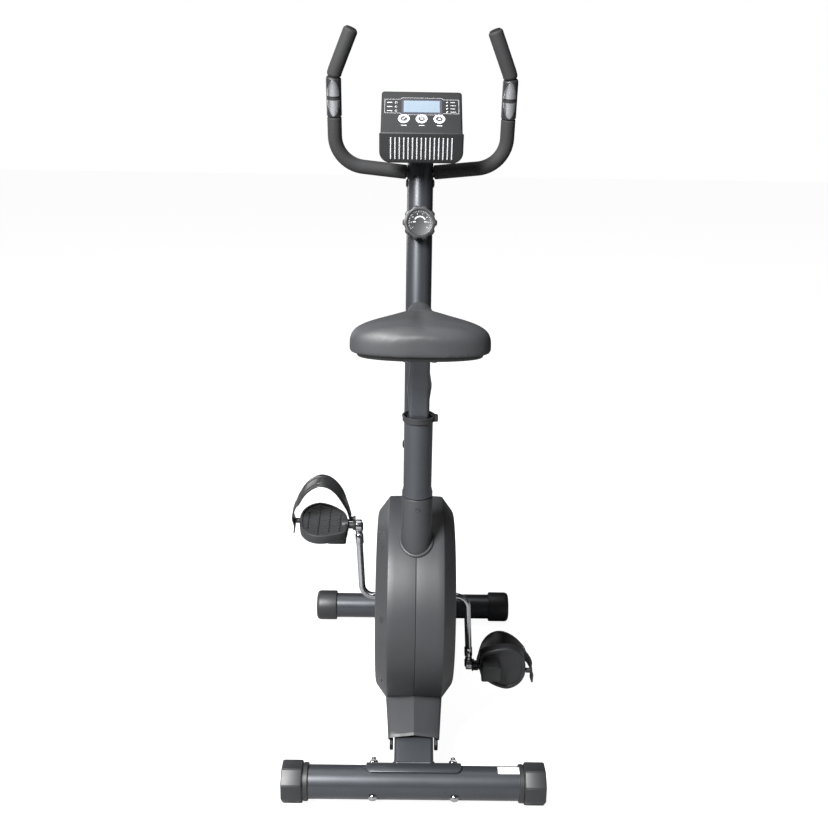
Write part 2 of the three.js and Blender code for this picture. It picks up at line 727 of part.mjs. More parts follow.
function housingShell(side) {
  const skin = cut(housingSolid(0), housingSolid(-housing.wall));
  const half = keep(skin, sideRegion(side));
  return cut(
    half,
    seatTubeRoom(tubeRadius + contactGap, 0, 600),
    mastRoom(tubeRadius + visibleGap, 200, 400),
    beamSolid(visibleGap),
    crossRod(crankHole, -100, 100, crankCentre.y, crankCentre.z, 16),
  );
}

// The moulding round the foot of the seat tube's visible part, seated on the housing's band.
function seatTubeCover() {
  const radius = tubeRadius + tubeCover.wall;
  const upper = turned(
    [
      [0, tubeCover.bottom],
      [radius, tubeCover.bottom],
      [radius, tubeCover.top - 6],
      [radius - 2.5, tubeCover.top],
      [0, tubeCover.top],
    ],
    24,
  ).applyMatrix4(seatGroup.matrix);
  return cut(
    upper,
    seatTubeRoom(tubeRadius + contactGap, 0, 600),
    housingSolid(contactGap),
    block([-100, seatTubeFoot.y, -100], [100, 600, crankCentre.z + housing.rearRadius * 0.5]),
  );
}

// The rear shroud covers the beam between the housing and the rear saddle.
function shroudHalf(side) {
  const section = (distance, half, grow) => {
    const corners = [
      [-half - grow, -shroud.low - grow],
      [half + grow, -shroud.low - grow],
      [half + grow, shroud.edge + grow],
      [0, shroud.ridge + grow],
      [-half - grow, shroud.edge + grow],
    ];
    return corners.map(([x, up]) =>
      point(
        x,
        rearFoot.y + distance * cosine(rearSlope) - up * sine(rearSlope),
        rearFoot.z + distance * sine(rearSlope) + up * cosine(rearSlope),
      ),
    );
  };
  const outer = loft([section(shroud.end, shroud.halfEnd, 0), section(shroud.start, shroud.halfStart, 0)]);
  const inner = loft([
    section(shroud.end + 5, shroud.halfEnd, -shroud.wall),
    section(shroud.start - 5, shroud.halfStart, -shroud.wall),
  ]);
  const lip = loft([
    section(shroud.start + 4, shroud.halfStart - 1, 0),
    section(shroud.start, shroud.halfStart - 1, 0),
  ]);
  const skin = join(cut(outer, inner), lip);
  return cut(keep(skin, sideRegion(side)), beamSolid(contactGap), housingSolid(contactGap));
}

function addHousing() {
  for (const [word, side] of sides) {
    add(bike, word + "_housing_shell", housingShell(side), housingPlastic());
    add(bike, word + "_rear_shroud", shroudHalf(side), trimPlastic());
  }
  add(bike, "seat_tube_cover", seatTubeCover(), housingPlastic());
}

// The lower stub of the mast, with the boss that carries the flywheel's axle.
function mastSocket() {
  const radius = tubeRadius - tubeWall - contactGap;
  const toMast = mastGroup.matrix.clone().invert();
  const { y, z } = flywheelCentre;
  const { halfWidth } = flywheelBoss;
  const boss = crossRod(flywheelBoss.diameter / 2, -halfWidth, halfWidth, y, z, 16);
  const axisY = mastFoot.y + (z - mastFoot.z) * tangent(mastLean);
  const web = block(
    [-flywheelBoss.web / 2, axisY + 10, z - flywheelBoss.webHeight / 2],
    [flywheelBoss.web / 2, y, z + flywheelBoss.webHeight / 2],
  );
  const axleBore = crossRod(flywheel.axle / 2 + runningGap, -100, 100, y, z, 12);
  const exitHole = rod(cable.exitRadius, 0, 60, 10)
    .rotateX(-Math.PI / 2)
    .translate(0, 0, cable.exit);
  return cut(
    join(rod(radius, 0, socketTop, 24), boss.applyMatrix4(toMast), web.applyMatrix4(toMast)),
    rod(radius - tubeWall, -60, socketTop + 5, 16),
    axleBore.applyMatrix4(toMast),
    crossRod(mastBolt.diameter / 2 + runningGap, -60, 60, 0, lowerBoltAt, 8),
    exitHole,
    beamSolid(contactGap).applyMatrix4(toMast),
  );
}

function outerMast() {
  const top = mastFrom + mastLength;
  const slot = bar.diameter / 2 + bar.slotGap;
  return cut(
    rod(tubeRadius, mastFrom, top, 24),
    rod(tubeRadius - tubeWall, mastFrom - 5, top + 5, 24),
    crossRod(slot, -60, 60, 0, crossbarAt, 12),
    block([-60, -slot, crossbarAt], [60, slot, top + 5]),
    crossRod(mastBolt.diameter / 2 + runningGap, -60, 60, 0, upperBoltAt, 8),
    crossRod(mastBolt.diameter / 2 + runningGap, -60, 60, 0, lowerBoltAt, 8),
    rod(tensionKnob.shaft / 2 + runningGap, 0, 60, 16)
      .rotateX(Math.PI / 2)
      .translate(0, 0, tensionKnob.at),
  );
}

function throughBolt(at) {
  const reach = tubeRadius + contactGap;
  const shaft = crossRod(mastBolt.diameter / 2, -reach - 1, reach + 1, 0, at, 8);
  const heads = sides.map(([, side]) =>
    crossRod(
      mastBolt.head / 2,
      Math.min(side * reach, side * (reach + mastBolt.headHeight)),
      Math.max(side * reach, side * (reach + mastBolt.headHeight)),
      0,
      at,
      12,
    ),
  );
  return join(shaft, ...heads);
}

// The handlebar: a bent tube in its own leaning plane, with a stem that drops into the mast.
const barCorner = point(bar.armHalf, 0, bar.armHalf * tangent(bar.slope));
const barCorners = [
  point(-bar.topHalf, 0, bar.top),
  point(-bar.armHalf, 0, barShoulder),
  point(-barCorner.x, 0, barCorner.z),
  point(0, 0, 0),
  barCorner,
  point(bar.armHalf, 0, barShoulder),
  point(bar.topHalf, 0, bar.top),
];
const barRadii = [barBend.high, barBend.low, 60, barBend.low, barBend.high];
const barRoute = rounded(barCorners, barRadii, barBend.steps);
const halfBar = lengthOf(barRoute) / 2;
const barGroup = groupAt(mastGroup, 0, 0, crossbarAt, mastLean + barLean);

function handlebar() {
  const tube = swept(disc(bar.diameter / 2, 10), barRoute);
  const bore = swept(disc(bar.diameter / 2 - bar.wall, 6), barRoute);
  const toBar = barGroup.matrix.clone().invert();
  const stemRadius = tubeRadius - tubeWall - contactGap;
  const stem = cut(
    rod(stemRadius, crossbarAt - stemBelow, mastFrom + mastLength - 2, 20),
    rod(stemRadius - tubeWall, crossbarAt - stemBelow - 5, mastFrom + mastLength + 5, 16),
    crossRod(mastBolt.diameter / 2 + runningGap, -60, 60, 0, upperBoltAt, 8),
  );
  return cut(join(tube, stem.applyMatrix4(toBar)), bore);
}

// Distances along half of the bar, from its middle to its end.
const foamFrom = tubeRadius + 2;
const sensorMiddle = bar.armHalf + sensor.pastArm;
const sensorFrom = sensorMiddle - sensor.length / 2;
const sensorTo = sensorMiddle + sensor.length / 2;

function barStretch(side, from, to) {
  if (side < 0) return stretch(barRoute, halfBar - to, halfBar - from);
  return stretch(barRoute, halfBar + from, halfBar + to);
}

const barSleeve = (side, from, to, radius, inner) =>
  swept(ring(radius, inner, foam.sides), barStretch(side, from, to));

function sensorPlate(side, from, to) {
  const inner = sensor.radius + contactGap;
  const route = barStretch(side, from, to);
  const riderSide = block([-400, -60, -100], [400, -3, 400]);
  return keep(swept(ring(sensor.plate, inner, 18), route), riderSide);
}

function addBar() {
  add(barGroup, "handlebar", handlebar(), blackPaint());
  const inner = bar.diameter / 2 + contactGap;
  for (const [word, side] of sides) {
    const lower = barSleeve(side, foamFrom, sensorFrom - contactGap, foam.diameter / 2, inner);
    const upper = barSleeve(side, sensorTo + contactGap, halfBar - 0.5, foam.diameter / 2, inner);
    add(barGroup, word + "_lower_foam", lower, foamRubber());
    add(barGroup, word + "_upper_foam", upper, foamRubber());
    const body = barSleeve(side, sensorFrom, sensorTo, sensor.radius, inner);
    add(barGroup, word + "_pulse_sensor", body, trimPlastic());
    const lowPlate = sensorPlate(side, sensorFrom + 4, sensorMiddle - sensor.band / 2);
    const highPlate = sensorPlate(side, sensorMiddle + sensor.band / 2, sensorTo - 4);
    add(barGroup, word + "_sensor_lower_plate", lowPlate, silverPlate());
    add(barGroup, word + "_sensor_upper_plate", highPlate, silverPlate());
  }
}

// The tension knob turns on a base that hugs the mast's rear face, and winds the cable.
function tensionKnobShape() {
  const { radius, tooth, teeth, height, shaft, shaftDepth } = tensionKnob;
  const count = teeth * 4;
  const outline = Array.from({ length: count }, (_, i) => {
    const angle = (i / count) * 2 * Math.PI;
    const reach = radius + tooth * Math.tanh(2.2 * Math.cos(teeth * angle));
    return new THREE.Vector2(reach * Math.cos(angle), reach * Math.sin(angle));
  });
  const from = tubeRadius + knobBase.height + runningGap;
  const grip = raised(new THREE.Shape(outline), from, from + height, 2);
  const spindle = rod(shaft / 2, tubeRadius - shaftDepth, from + 2, 14);
  return join(grip, spindle)
    .rotateX(Math.PI / 2)
    .translate(0, 0, tensionKnob.at);
}

function tensionKnobBase() {
  const body = rod(knobBase.radius, tubeRadius - knobBase.wrap, tubeRadius + knobBase.height, 28);
  const bore = rod(tensionKnob.shaft / 2 + runningGap, 0, 2 * tubeRadius, 14);
  const mastSpace = rod(tubeRadius + contactGap, -60, 60, 32).rotateX(Math.PI / 2);
  return cut(body, bore, mastSpace)
    .rotateX(Math.PI / 2)
    .translate(0, 0, tensionKnob.at);
}

// The cable hangs inside the mast, leaves the stub through its front, and runs round to the bracket.
function tensionCable() {
  const down = [
    point(0, -8, tensionKnob.at),
    point(0, 3, tensionKnob.at - 40),
    point(0, cable.besideBolt, tensionKnob.at - 130),
    point(0, cable.besideBolt, cable.exit + 60),
    point(0, cable.besideBolt + 2, cable.exit + 14),
    point(0, tubeRadius + 3, cable.exit - 3),
  ].map((stop) => stop.applyMatrix4(mastGroup.matrix));
  const clear = flywheel.radius + magnet.gap + magnet.thickness + 12;
  const middleX = flywheel.from + flywheel.width / 2;
  const around = [
    [72, -4],
    [56, middleX * 0.5],
    [40, middleX],
    [28, middleX],
  ].map(([angle, x]) =>
    point(x, flywheelCentre.y + clear * cosine(angle), flywheelCentre.z + clear * sine(angle)),
  );
  const curve = new THREE.CatmullRomCurve3([...down, ...around], false, "centripetal");
  return swept(disc(cable.diameter / 2, 8), new Route(curve.getSpacedPoints(28)));
}

function magnetBracket() {
  const inner = flywheel.radius + magnet.gap;
  const outer = inner + magnet.thickness;
  const shape = new THREE.Shape();
  shape.absarc(0, 0, outer, radians(magnet.low), radians(magnet.high), false);
  shape.absarc(0, 0, inner, radians(magnet.high), radians(magnet.low), true);
  const from = flywheel.from;
  const to = flywheel.from + flywheel.width;
  const arc = new THREE.ExtrudeGeometry(shape, { depth: to - from, bevelEnabled: false, curveSegments: 8 })
    .applyMatrix4(sideways)
    .translate(from, flywheelCentre.y, flywheelCentre.z);
  const eye = crossRod(magnet.boss, from, to, magnetPivot.y, magnetPivot.z, 18);
  const rimRoom = crossRod(flywheel.radius + 2, from - 5, to + 5, flywheelCentre.y, flywheelCentre.z, 40);
  const bore = crossRod(magnet.pin / 2 + runningGap, from - 5, to + 5, magnetPivot.y, magnetPivot.z, 14);
  return cut(join(arc, eye), rimRoom, bore);
}

function addMast() {
  add(mastGroup, "mast_socket", mastSocket(), framePaint());
  add(mastGroup, "mast", outerMast(), framePaint());
  add(mastGroup, "lower_mast_bolt", throughBolt(lowerBoltAt), chrome());
  add(mastGroup, "upper_mast_bolt", throughBolt(upperBoltAt), chrome());
  add(mastGroup, "tension_knob", tensionKnobShape(), trimPlastic());
  add(mastGroup, "tension_knob_base", tensionKnobBase(), trimPlastic());
  add(bike, "tension_cable", tensionCable(), beltRubber());
  add(bike, "magnet_bracket", magnetBracket(), zincSteel());
}

// Console: a side outline pushed across, split into the face and the back.
const panelUp = { y: sine(panelTilt), z: cosine(panelTilt) };
const panelOut = { y: -cosine(panelTilt), z: sine(panelTilt) };
const consoleTop = {
  y: consoleWaist.y + panelLength * panelUp.y,
  z: consoleWaist.z + panelLength * panelUp.z,
};

function consoleFace() {
  const shape = polygon([
    [consoleLow.y, consoleLow.z],
    [consoleLow.y + faceThickness, consoleLow.z],
    [consoleWaist.y + faceThickness * 1.06, consoleWaist.z - faceThickness * 0.45],
    [consoleTop.y - panelOut.y * faceThickness, consoleTop.z - panelOut.z * faceThickness],
    [consoleTop.y, consoleTop.z],
    [consoleWaist.y, consoleWaist.z],
  ]);
  const body = across(shape, -consoleHalf, consoleHalf, 1.5);
  const windowRoom = panelPiece(
    roundedShape(screenWindow.width + 2 * contactGap, screenWindow.height + 2 * contactGap, 2),
    0,
    screenWindow.at,
    -screenWindow.depth - contactGap,
    5,
  );
  const roomDepth = button.thickness - button.proud + button.travel + runningGap;
  const roomShape = disc(button.diameter / 2 + runningGap, 20);
  const buttonRooms = [-1, 0, 1].map((place) =>
    panelPiece(roomShape, place * button.pitch, button.at, -roomDepth, 5),
  );
  return cut(body, windowRoom, ...buttonRooms);
}

// A piece on the console's panel: a shape at a place along it, between two depths.
function panelPiece(shape, x, along, from, to, bevel) {
  return raised(shape, from, to, bevel)
    .rotateX(radians(90 - panelTilt))
    .translate(x, consoleWaist.y + along * panelUp.y, consoleWaist.z + along * panelUp.z);
}

function consoleBack() {
  const gap = contactGap;
  const inner = [
    [consoleLow.y + faceThickness + gap, consoleLow.z],
    [consoleWaist.y + faceThickness * 1.06 + gap, consoleWaist.z - faceThickness * 0.45 - gap * 0.5],
    [
      consoleTop.y - panelOut.y * (faceThickness + gap * 1.5),
      consoleTop.z - panelOut.z * (faceThickness + gap * 1.5),
    ],
  ];
  const depth = faceThickness + backDepth;
  const shape = polygon([
    ...inner.reverse(),
    [consoleLow.y + depth, consoleLow.z + 2],
    [consoleLow.y + depth + 4, consoleWaist.z - 6],
    [consoleTop.y - panelOut.y * (depth - 12), consoleTop.z - panelOut.z * (depth - 12) - 3],
  ]);
  const body = across(shape, -consoleHalf + 2, consoleHalf - 2, 1.5);
  const { halfWidth, low, high, length } = consoleMount;
  const mountFrom = consoleLow.y + depth - 4;
  const mount = block([-halfWidth, mountFrom, low], [halfWidth, mountFrom + length, high]);
  return cut(join(body, mount), mastRoom(tubeRadius + contactGap, mastFrom, mastFrom + mastLength + 30));
}

function addConsole() {
  add(bike, "console_face", consoleFace(), trimPlastic());
  add(bike, "console_back", consoleBack(), trimPlastic());
  const glass = panelPiece(
    roundedShape(screenWindow.width, screenWindow.height, 2),
    0,
    screenWindow.at,
    -screenWindow.depth,
    0,
  );
  add(bike, "console_window", glass, screenGlass());
  ["left", "middle", "right"].forEach((word, i) => {
    const cap = panelPiece(
      disc(button.diameter / 2, 20),
      (i - 1) * button.pitch,
      button.at,
      button.proud - button.thickness,
      button.proud,
      0.6,
    );
    add(bike, word + "_console_button", cap, buttonWhite());
  });
}

// Crank and drive
function crankShape() {
  const { y, z } = crankCentre;
  const end = (side) => point(side * crankReach.end, y, z - side * crankLength);
  const bend = (side) => point(side * crankReach.axle, y, z);
  const route = rounded([end(-1), bend(-1), bend(1), end(1)], crankBend, 5);
  const bosses = sides.map(([, side]) =>
    crossRod(
      crankBoss.diameter / 2,
      side * crankReach.end - crankBoss.width / 2,
      side * crankReach.end + crankBoss.width / 2,
      y,
      z - side * crankLength,
      14,
    ),
  );
  const bores = sides.map(([, side]) =>
    crossRod(
      pedal.spindle / 2 + contactGap,
      side * crankReach.end - crankBoss.width,
      side * crankReach.end + crankBoss.width,
      y,
      z - side * crankLength,
      12,
    ),
  );
  return cut(join(swept(disc(crankRod / 2, 10), route), ...bosses), ...bores);
}

// A wheel with a thick rim, a thin web and a hub, about the X axis, at a place.
function spokedDisc({ radius, from, width, rim, web, hub }, bore, place, segments) {
  const middle = width / 2;
  const pairs = [
    [bore, 0],
    [hub, 0],
    [hub, middle - web / 2],
    [radius - rim, middle - web / 2],
    [radius - rim, 0],
    [radius, 0],
    [radius, width],
    [radius - rim, width],
    [radius - rim, middle + web / 2],
    [hub, middle + web / 2],
    [hub, width],
    [bore, width],
    [bore, 0],
  ];
  return turned(pairs, segments).applyMatrix4(sideways).translate(from, place.y, place.z);
}

function flywheelShape() {
  const { y, z } = flywheelCentre;
  const body = spokedDisc(flywheel, flywheel.axle / 2 - 1, flywheelCentre, 24);
  const axleEnd = pulley.from + pulley.width + 4;
  const axle = crossRod(flywheel.axle / 2, flywheel.from - 4, axleEnd, y, z, 10);
  const driven = crossRod(smallPulleyRadius, pulley.from, pulley.from + pulley.width, y, z, 16);
  return join(body, axle, driven);
}

function beltShape() {
  const runs = (grow) => {
    const rear = pulley.radius + contactGap + grow;
    const front = smallPulleyRadius + contactGap + grow;
    const dy = flywheelCentre.y - crankCentre.y;
    const dz = flywheelCentre.z - crankCentre.z;
    const tilt = Math.atan2(dz, dy);
    const spread = Math.acos((rear - front) / Math.hypot(dy, dz));
    const arc = (centre, radius, from, to, steps) =>
      Array.from({ length: steps + 1 }, (_, i) => {
        const angle = from + ((to - from) * i) / steps;
        const reach = radius / Math.cos((to - from) / steps / 2);
        return new THREE.Vector2(centre.y + reach * Math.cos(angle), centre.z + reach * Math.sin(angle));
      });
    return [
      ...arc(crankCentre, rear, tilt + spread, tilt - spread + 2 * Math.PI, 28),
      ...arc(flywheelCentre, front, tilt - spread, tilt + spread, 10),
    ];
  };
  const shape = new THREE.Shape(runs(belt.thickness));
  shape.holes.push(new THREE.Path(runs(0)));
  const from = pulley.from + (pulley.width - belt.width) / 2;
  return across(shape, from, from + belt.width);
}

function addDrive() {
  add(bike, "crank_shell", crankShellShape(), framePaint());
  add(bike, "crank", crankShape(), chrome());
  const pulleyBody = spokedDisc(pulley, crankRod / 2 + contactGap, crankCentre, 24);
  add(bike, "drive_pulley", pulleyBody, trimPlastic());
  add(bike, "flywheel", flywheelShape(), castIron());
  add(bike, "drive_belt", beltShape(), beltRubber());
}

// Pedals, in axes of their own: +X from the crank arm outwards on the right, +Y to the toe.
function pedalBody(side) {
  const plan = polygon(pedalOutline.map(([out, toe]) => [side * (pedal.inset + out), toe]));
  const half = pedal.thickness / 2;
  const slab = raised(plan, -half, half, pedal.bevel);
  const inner = side * pedal.inset;
  const outer = side * (pedal.inset + counterweight.width);
  const weight = block(
    [Math.min(inner, outer), -counterweight.length / 2, -half - counterweight.drop],
    [Math.max(inner, outer), counterweight.length / 2, -half + 4],
  );
  const bore = rod(pedal.spindle / 2 + runningGap, pedal.inset - 20, pedal.inset + pedal.boreDepth, 16)
    .rotateY(side * Math.PI / 2);
  return cut(join(slab, weight), bore);
}

function pedalSpindle(side) {
  const from = -crankBoss.width / 2 - 3;
  const flange = rod(9, crankBoss.width / 2 + contactGap, crankBoss.width / 2 + 5, 16);
  return join(rod(pedal.spindle / 2, from, pedal.inset + pedal.boreDepth - 3, 16), flange)
    .rotateY(side * Math.PI / 2);
}

function pedalStrap(side) {
  const line = new THREE.SplineCurve(strapLine.map(([out, up]) => new THREE.Vector2(out, up)));
  const steps = 20;
  const edge = (offset) =>
    Array.from({ length: steps + 1 }, (_, i) => {
      const at = line.getPoint(i / steps);
      const heading = line.getTangent(i / steps);
      return [side * (pedal.inset + at.x - heading.y * offset), at.y + heading.x * offset];
    });
  const outline = polygon([...edge(strap.thickness / 2), ...edge(-strap.thickness / 2).reverse()]);
  return raised(outline, -strap.from - strap.width, -strap.from).rotateX(Math.PI / 2);
}

function addPedals() {
  for (const [word, side] of sides) {
    const height = crankCentre.z - side * crankLength;
    const hub = groupAt(bike, side * crankReach.end, crankCentre.y, height);
    add(hub, word + "_pedal_spindle", pedalSpindle(side), blackPaint());
    const swing = groupAt(hub, 0, 0, 0, pedalPitch[word]);
    add(swing, word + "_pedal", pedalBody(side), trimPlastic());
    add(swing, word + "_pedal_strap", pedalStrap(side), beltRubber());
  }
}

addFeet();
add(bike, "lower_frame", lowerFrame(), framePaint());
addHousing();
addDrive();
addPedals();
addSeat();
addMast();
addBar();
addConsole();

export default bike;
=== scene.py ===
import math

import bmesh
import bpy
from mathutils import Matrix, Vector


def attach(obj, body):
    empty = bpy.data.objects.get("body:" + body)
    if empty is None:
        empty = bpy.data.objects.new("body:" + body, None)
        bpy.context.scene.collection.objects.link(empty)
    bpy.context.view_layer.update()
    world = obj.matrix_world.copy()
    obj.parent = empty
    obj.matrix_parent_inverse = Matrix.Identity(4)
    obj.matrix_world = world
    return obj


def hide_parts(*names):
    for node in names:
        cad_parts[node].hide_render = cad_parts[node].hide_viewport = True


# An upright exercise bike. Metres, +Z up, +Y the way the rider faces, +X the rider's right.
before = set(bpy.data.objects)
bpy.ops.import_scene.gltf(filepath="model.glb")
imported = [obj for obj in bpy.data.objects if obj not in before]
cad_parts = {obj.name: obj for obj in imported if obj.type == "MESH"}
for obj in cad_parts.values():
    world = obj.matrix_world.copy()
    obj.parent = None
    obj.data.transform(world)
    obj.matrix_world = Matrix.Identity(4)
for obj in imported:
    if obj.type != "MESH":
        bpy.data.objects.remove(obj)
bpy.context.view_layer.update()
scene = bpy.context.scene
print("frame loaded")

# camera
cameraView = {
    "place": (-0.0216, -1.9374, 1.1752),
    "lens": 43.38,
    "down": 15.53,   # degrees below the horizon
    "aside": 0.435,  # degrees to the right of straight ahead
    "tilt": 0.90,
}


def makeCamera(view):
    down, aside, tilt = (math.radians(view[k]) for k in ("down", "aside", "tilt"))
    ahead = Vector((math.sin(aside) * math.cos(down), math.cos(aside) * math.cos(down), -math.sin(down)))
    right = Vector((math.cos(aside), -math.sin(aside), 0))
    up = right.cross(ahead)
    rightTilted = right * math.cos(tilt) + up * math.sin(tilt)
    upTilted = up * math.cos(tilt) - right * math.sin(tilt)
    data = bpy.data.cameras.new("camera")
    data.lens = view["lens"]
    data.sensor_width = 36
    camera = bpy.data.objects.new("camera", data)
    turn = Matrix((rightTilted, upTilted, -ahead)).transposed().to_4x4()
    camera.matrix_world = Matrix.Translation(view["place"]) @ turn
    scene.collection.objects.link(camera)
    scene.camera = camera


makeCamera(cameraView)


# shader groups
def addNode(tree, kind, values=None, **settings):
    node = tree.nodes.new(kind)
    for key, value in settings.items():
        setattr(node, key, value)
    for key, value in (values or {}).items():
        if isinstance(value, bpy.types.NodeSocket):
            tree.links.new(value, node.inputs[key])
        else:
            node.inputs[key].default_value = value
    return node


def startGroup(name, inputs, outputs, kind="ShaderNodeTree"):
    tree = bpy.data.node_groups.new(name, kind)
    for socketName, (socketKind, default) in inputs.items():
        socket = tree.interface.new_socket(socketName, in_out="INPUT", socket_type=socketKind)
        if default is not None:
            socket.default_value = default
    for socketName, socketKind in outputs.items():
        tree.interface.new_socket(socketName, in_out="OUTPUT", socket_type=socketKind)
    return tree, tree.nodes.new("NodeGroupInput"), tree.nodes.new("NodeGroupOutput")


def mathNode(tree, operation, first, second=0.0, clamp=False):
    return addNode(tree, "ShaderNodeMath", {0: first, 1: second}, operation=operation, use_clamp=clamp).outputs[0]


def makeGrainGroup():
    # fine moulded grain, from smooth speckle to rounded pebbles
    number = "NodeSocketFloat"
    tree, given, result = startGroup(
        "surfaceGrain", {"Scale": (number, 900.0), "Pebble": (number, 0.0)}, {"Height": number})
    place = addNode(tree, "ShaderNodeTexCoord").outputs["Object"]
    scale = given.outputs["Scale"]
    speckle = addNode(tree, "ShaderNodeTexNoise", {"Vector": place, "Scale": scale, "Detail": 3.0}).outputs["Fac"]
    cells = addNode(tree, "ShaderNodeTexVoronoi", {"Vector": place, "Scale": scale, "Smoothness": 0.6},
                    feature="SMOOTH_F1").outputs["Distance"]
    pebbles = mathNode(tree, "SUBTRACT", 1.0, cells)
    mixed = addNode(tree, "ShaderNodeMix", {0: given.outputs["Pebble"], 2: speckle, 3: pebbles}).outputs[0]
    tree.links.new(mixed, result.inputs["Height"])
    return tree


def makeSmudgeGroup():
    # large soft patches crossed with small streaks, for colour and gloss that are not quite even
    number = "NodeSocketFloat"
    tree, given, result = startGroup(
        "handledPatches", {"Scale": (number, 14.0), "Streaks": (number, 0.3)}, {"Patch": number})
    place = addNode(tree, "ShaderNodeTexCoord").outputs["Object"]
    soft = addNode(tree, "ShaderNodeTexNoise",
                   {"Vector": place, "Scale": given.outputs["Scale"], "Detail": 4.0}).outputs["Fac"]
    stretched = addNode(tree, "ShaderNodeMapping", {"Vector": place, "Scale": (60.0, 60.0, 9.0)}).outputs[0]
    streak = addNode(tree, "ShaderNodeTexNoise", {"Vector": stretched, "Scale": 6.0, "Detail": 2.0}).outputs["Fac"]
    mixed = addNode(tree, "ShaderNodeMix", {0: given.outputs["Streaks"], 2: soft, 3: streak}).outputs[0]
    spread = addNode(tree, "ShaderNodeMapRange", {0: mixed, 1: 0.3, 2: 0.7}).outputs[0]
    tree.links.new(spread, result.inputs["Patch"])
    return tree


def makeWearGroup():
    # a broken mask along sharp edges
    number = "NodeSocketFloat"
    tree, given, result = startGroup(
        "edgeWear", {"Radius": (number, 0.0012), "Amount": (number, 0.5)}, {"Mask": number})
    rounded = addNode(tree, "ShaderNodeBevel", {"Radius": given.outputs["Radius"]}, samples=4).outputs[0]
    flat = addNode(tree, "ShaderNodeNewGeometry").outputs["Normal"]
    same = addNode(tree, "ShaderNodeVectorMath", {0: rounded, 1: flat}, operation="DOT_PRODUCT").outputs["Value"]
    edge = addNode(tree, "ShaderNodeMapRange", {0: same, 1: 0.985, 2: 0.80}).outputs[0]
    place = addNode(tree, "ShaderNodeTexCoord").outputs["Object"]
    broken = addNode(tree, "ShaderNodeTexNoise", {"Vector": place, "Scale": 160.0, "Detail": 5.0}).outputs["Fac"]
    patchy = addNode(tree, "ShaderNodeMapRange", {0: broken, 1: 0.42, 2: 0.62}).outputs[0]
    mask = mathNode(tree, "MULTIPLY", mathNode(tree, "MULTIPLY", edge, patchy), given.outputs["Amount"], True)
    tree.links.new(mask, result.inputs["Mask"])
    return tree


grainGroup = makeGrainGroup()
smudgeGroup = makeSmudgeGroup()
wearGroup = makeWearGroup()

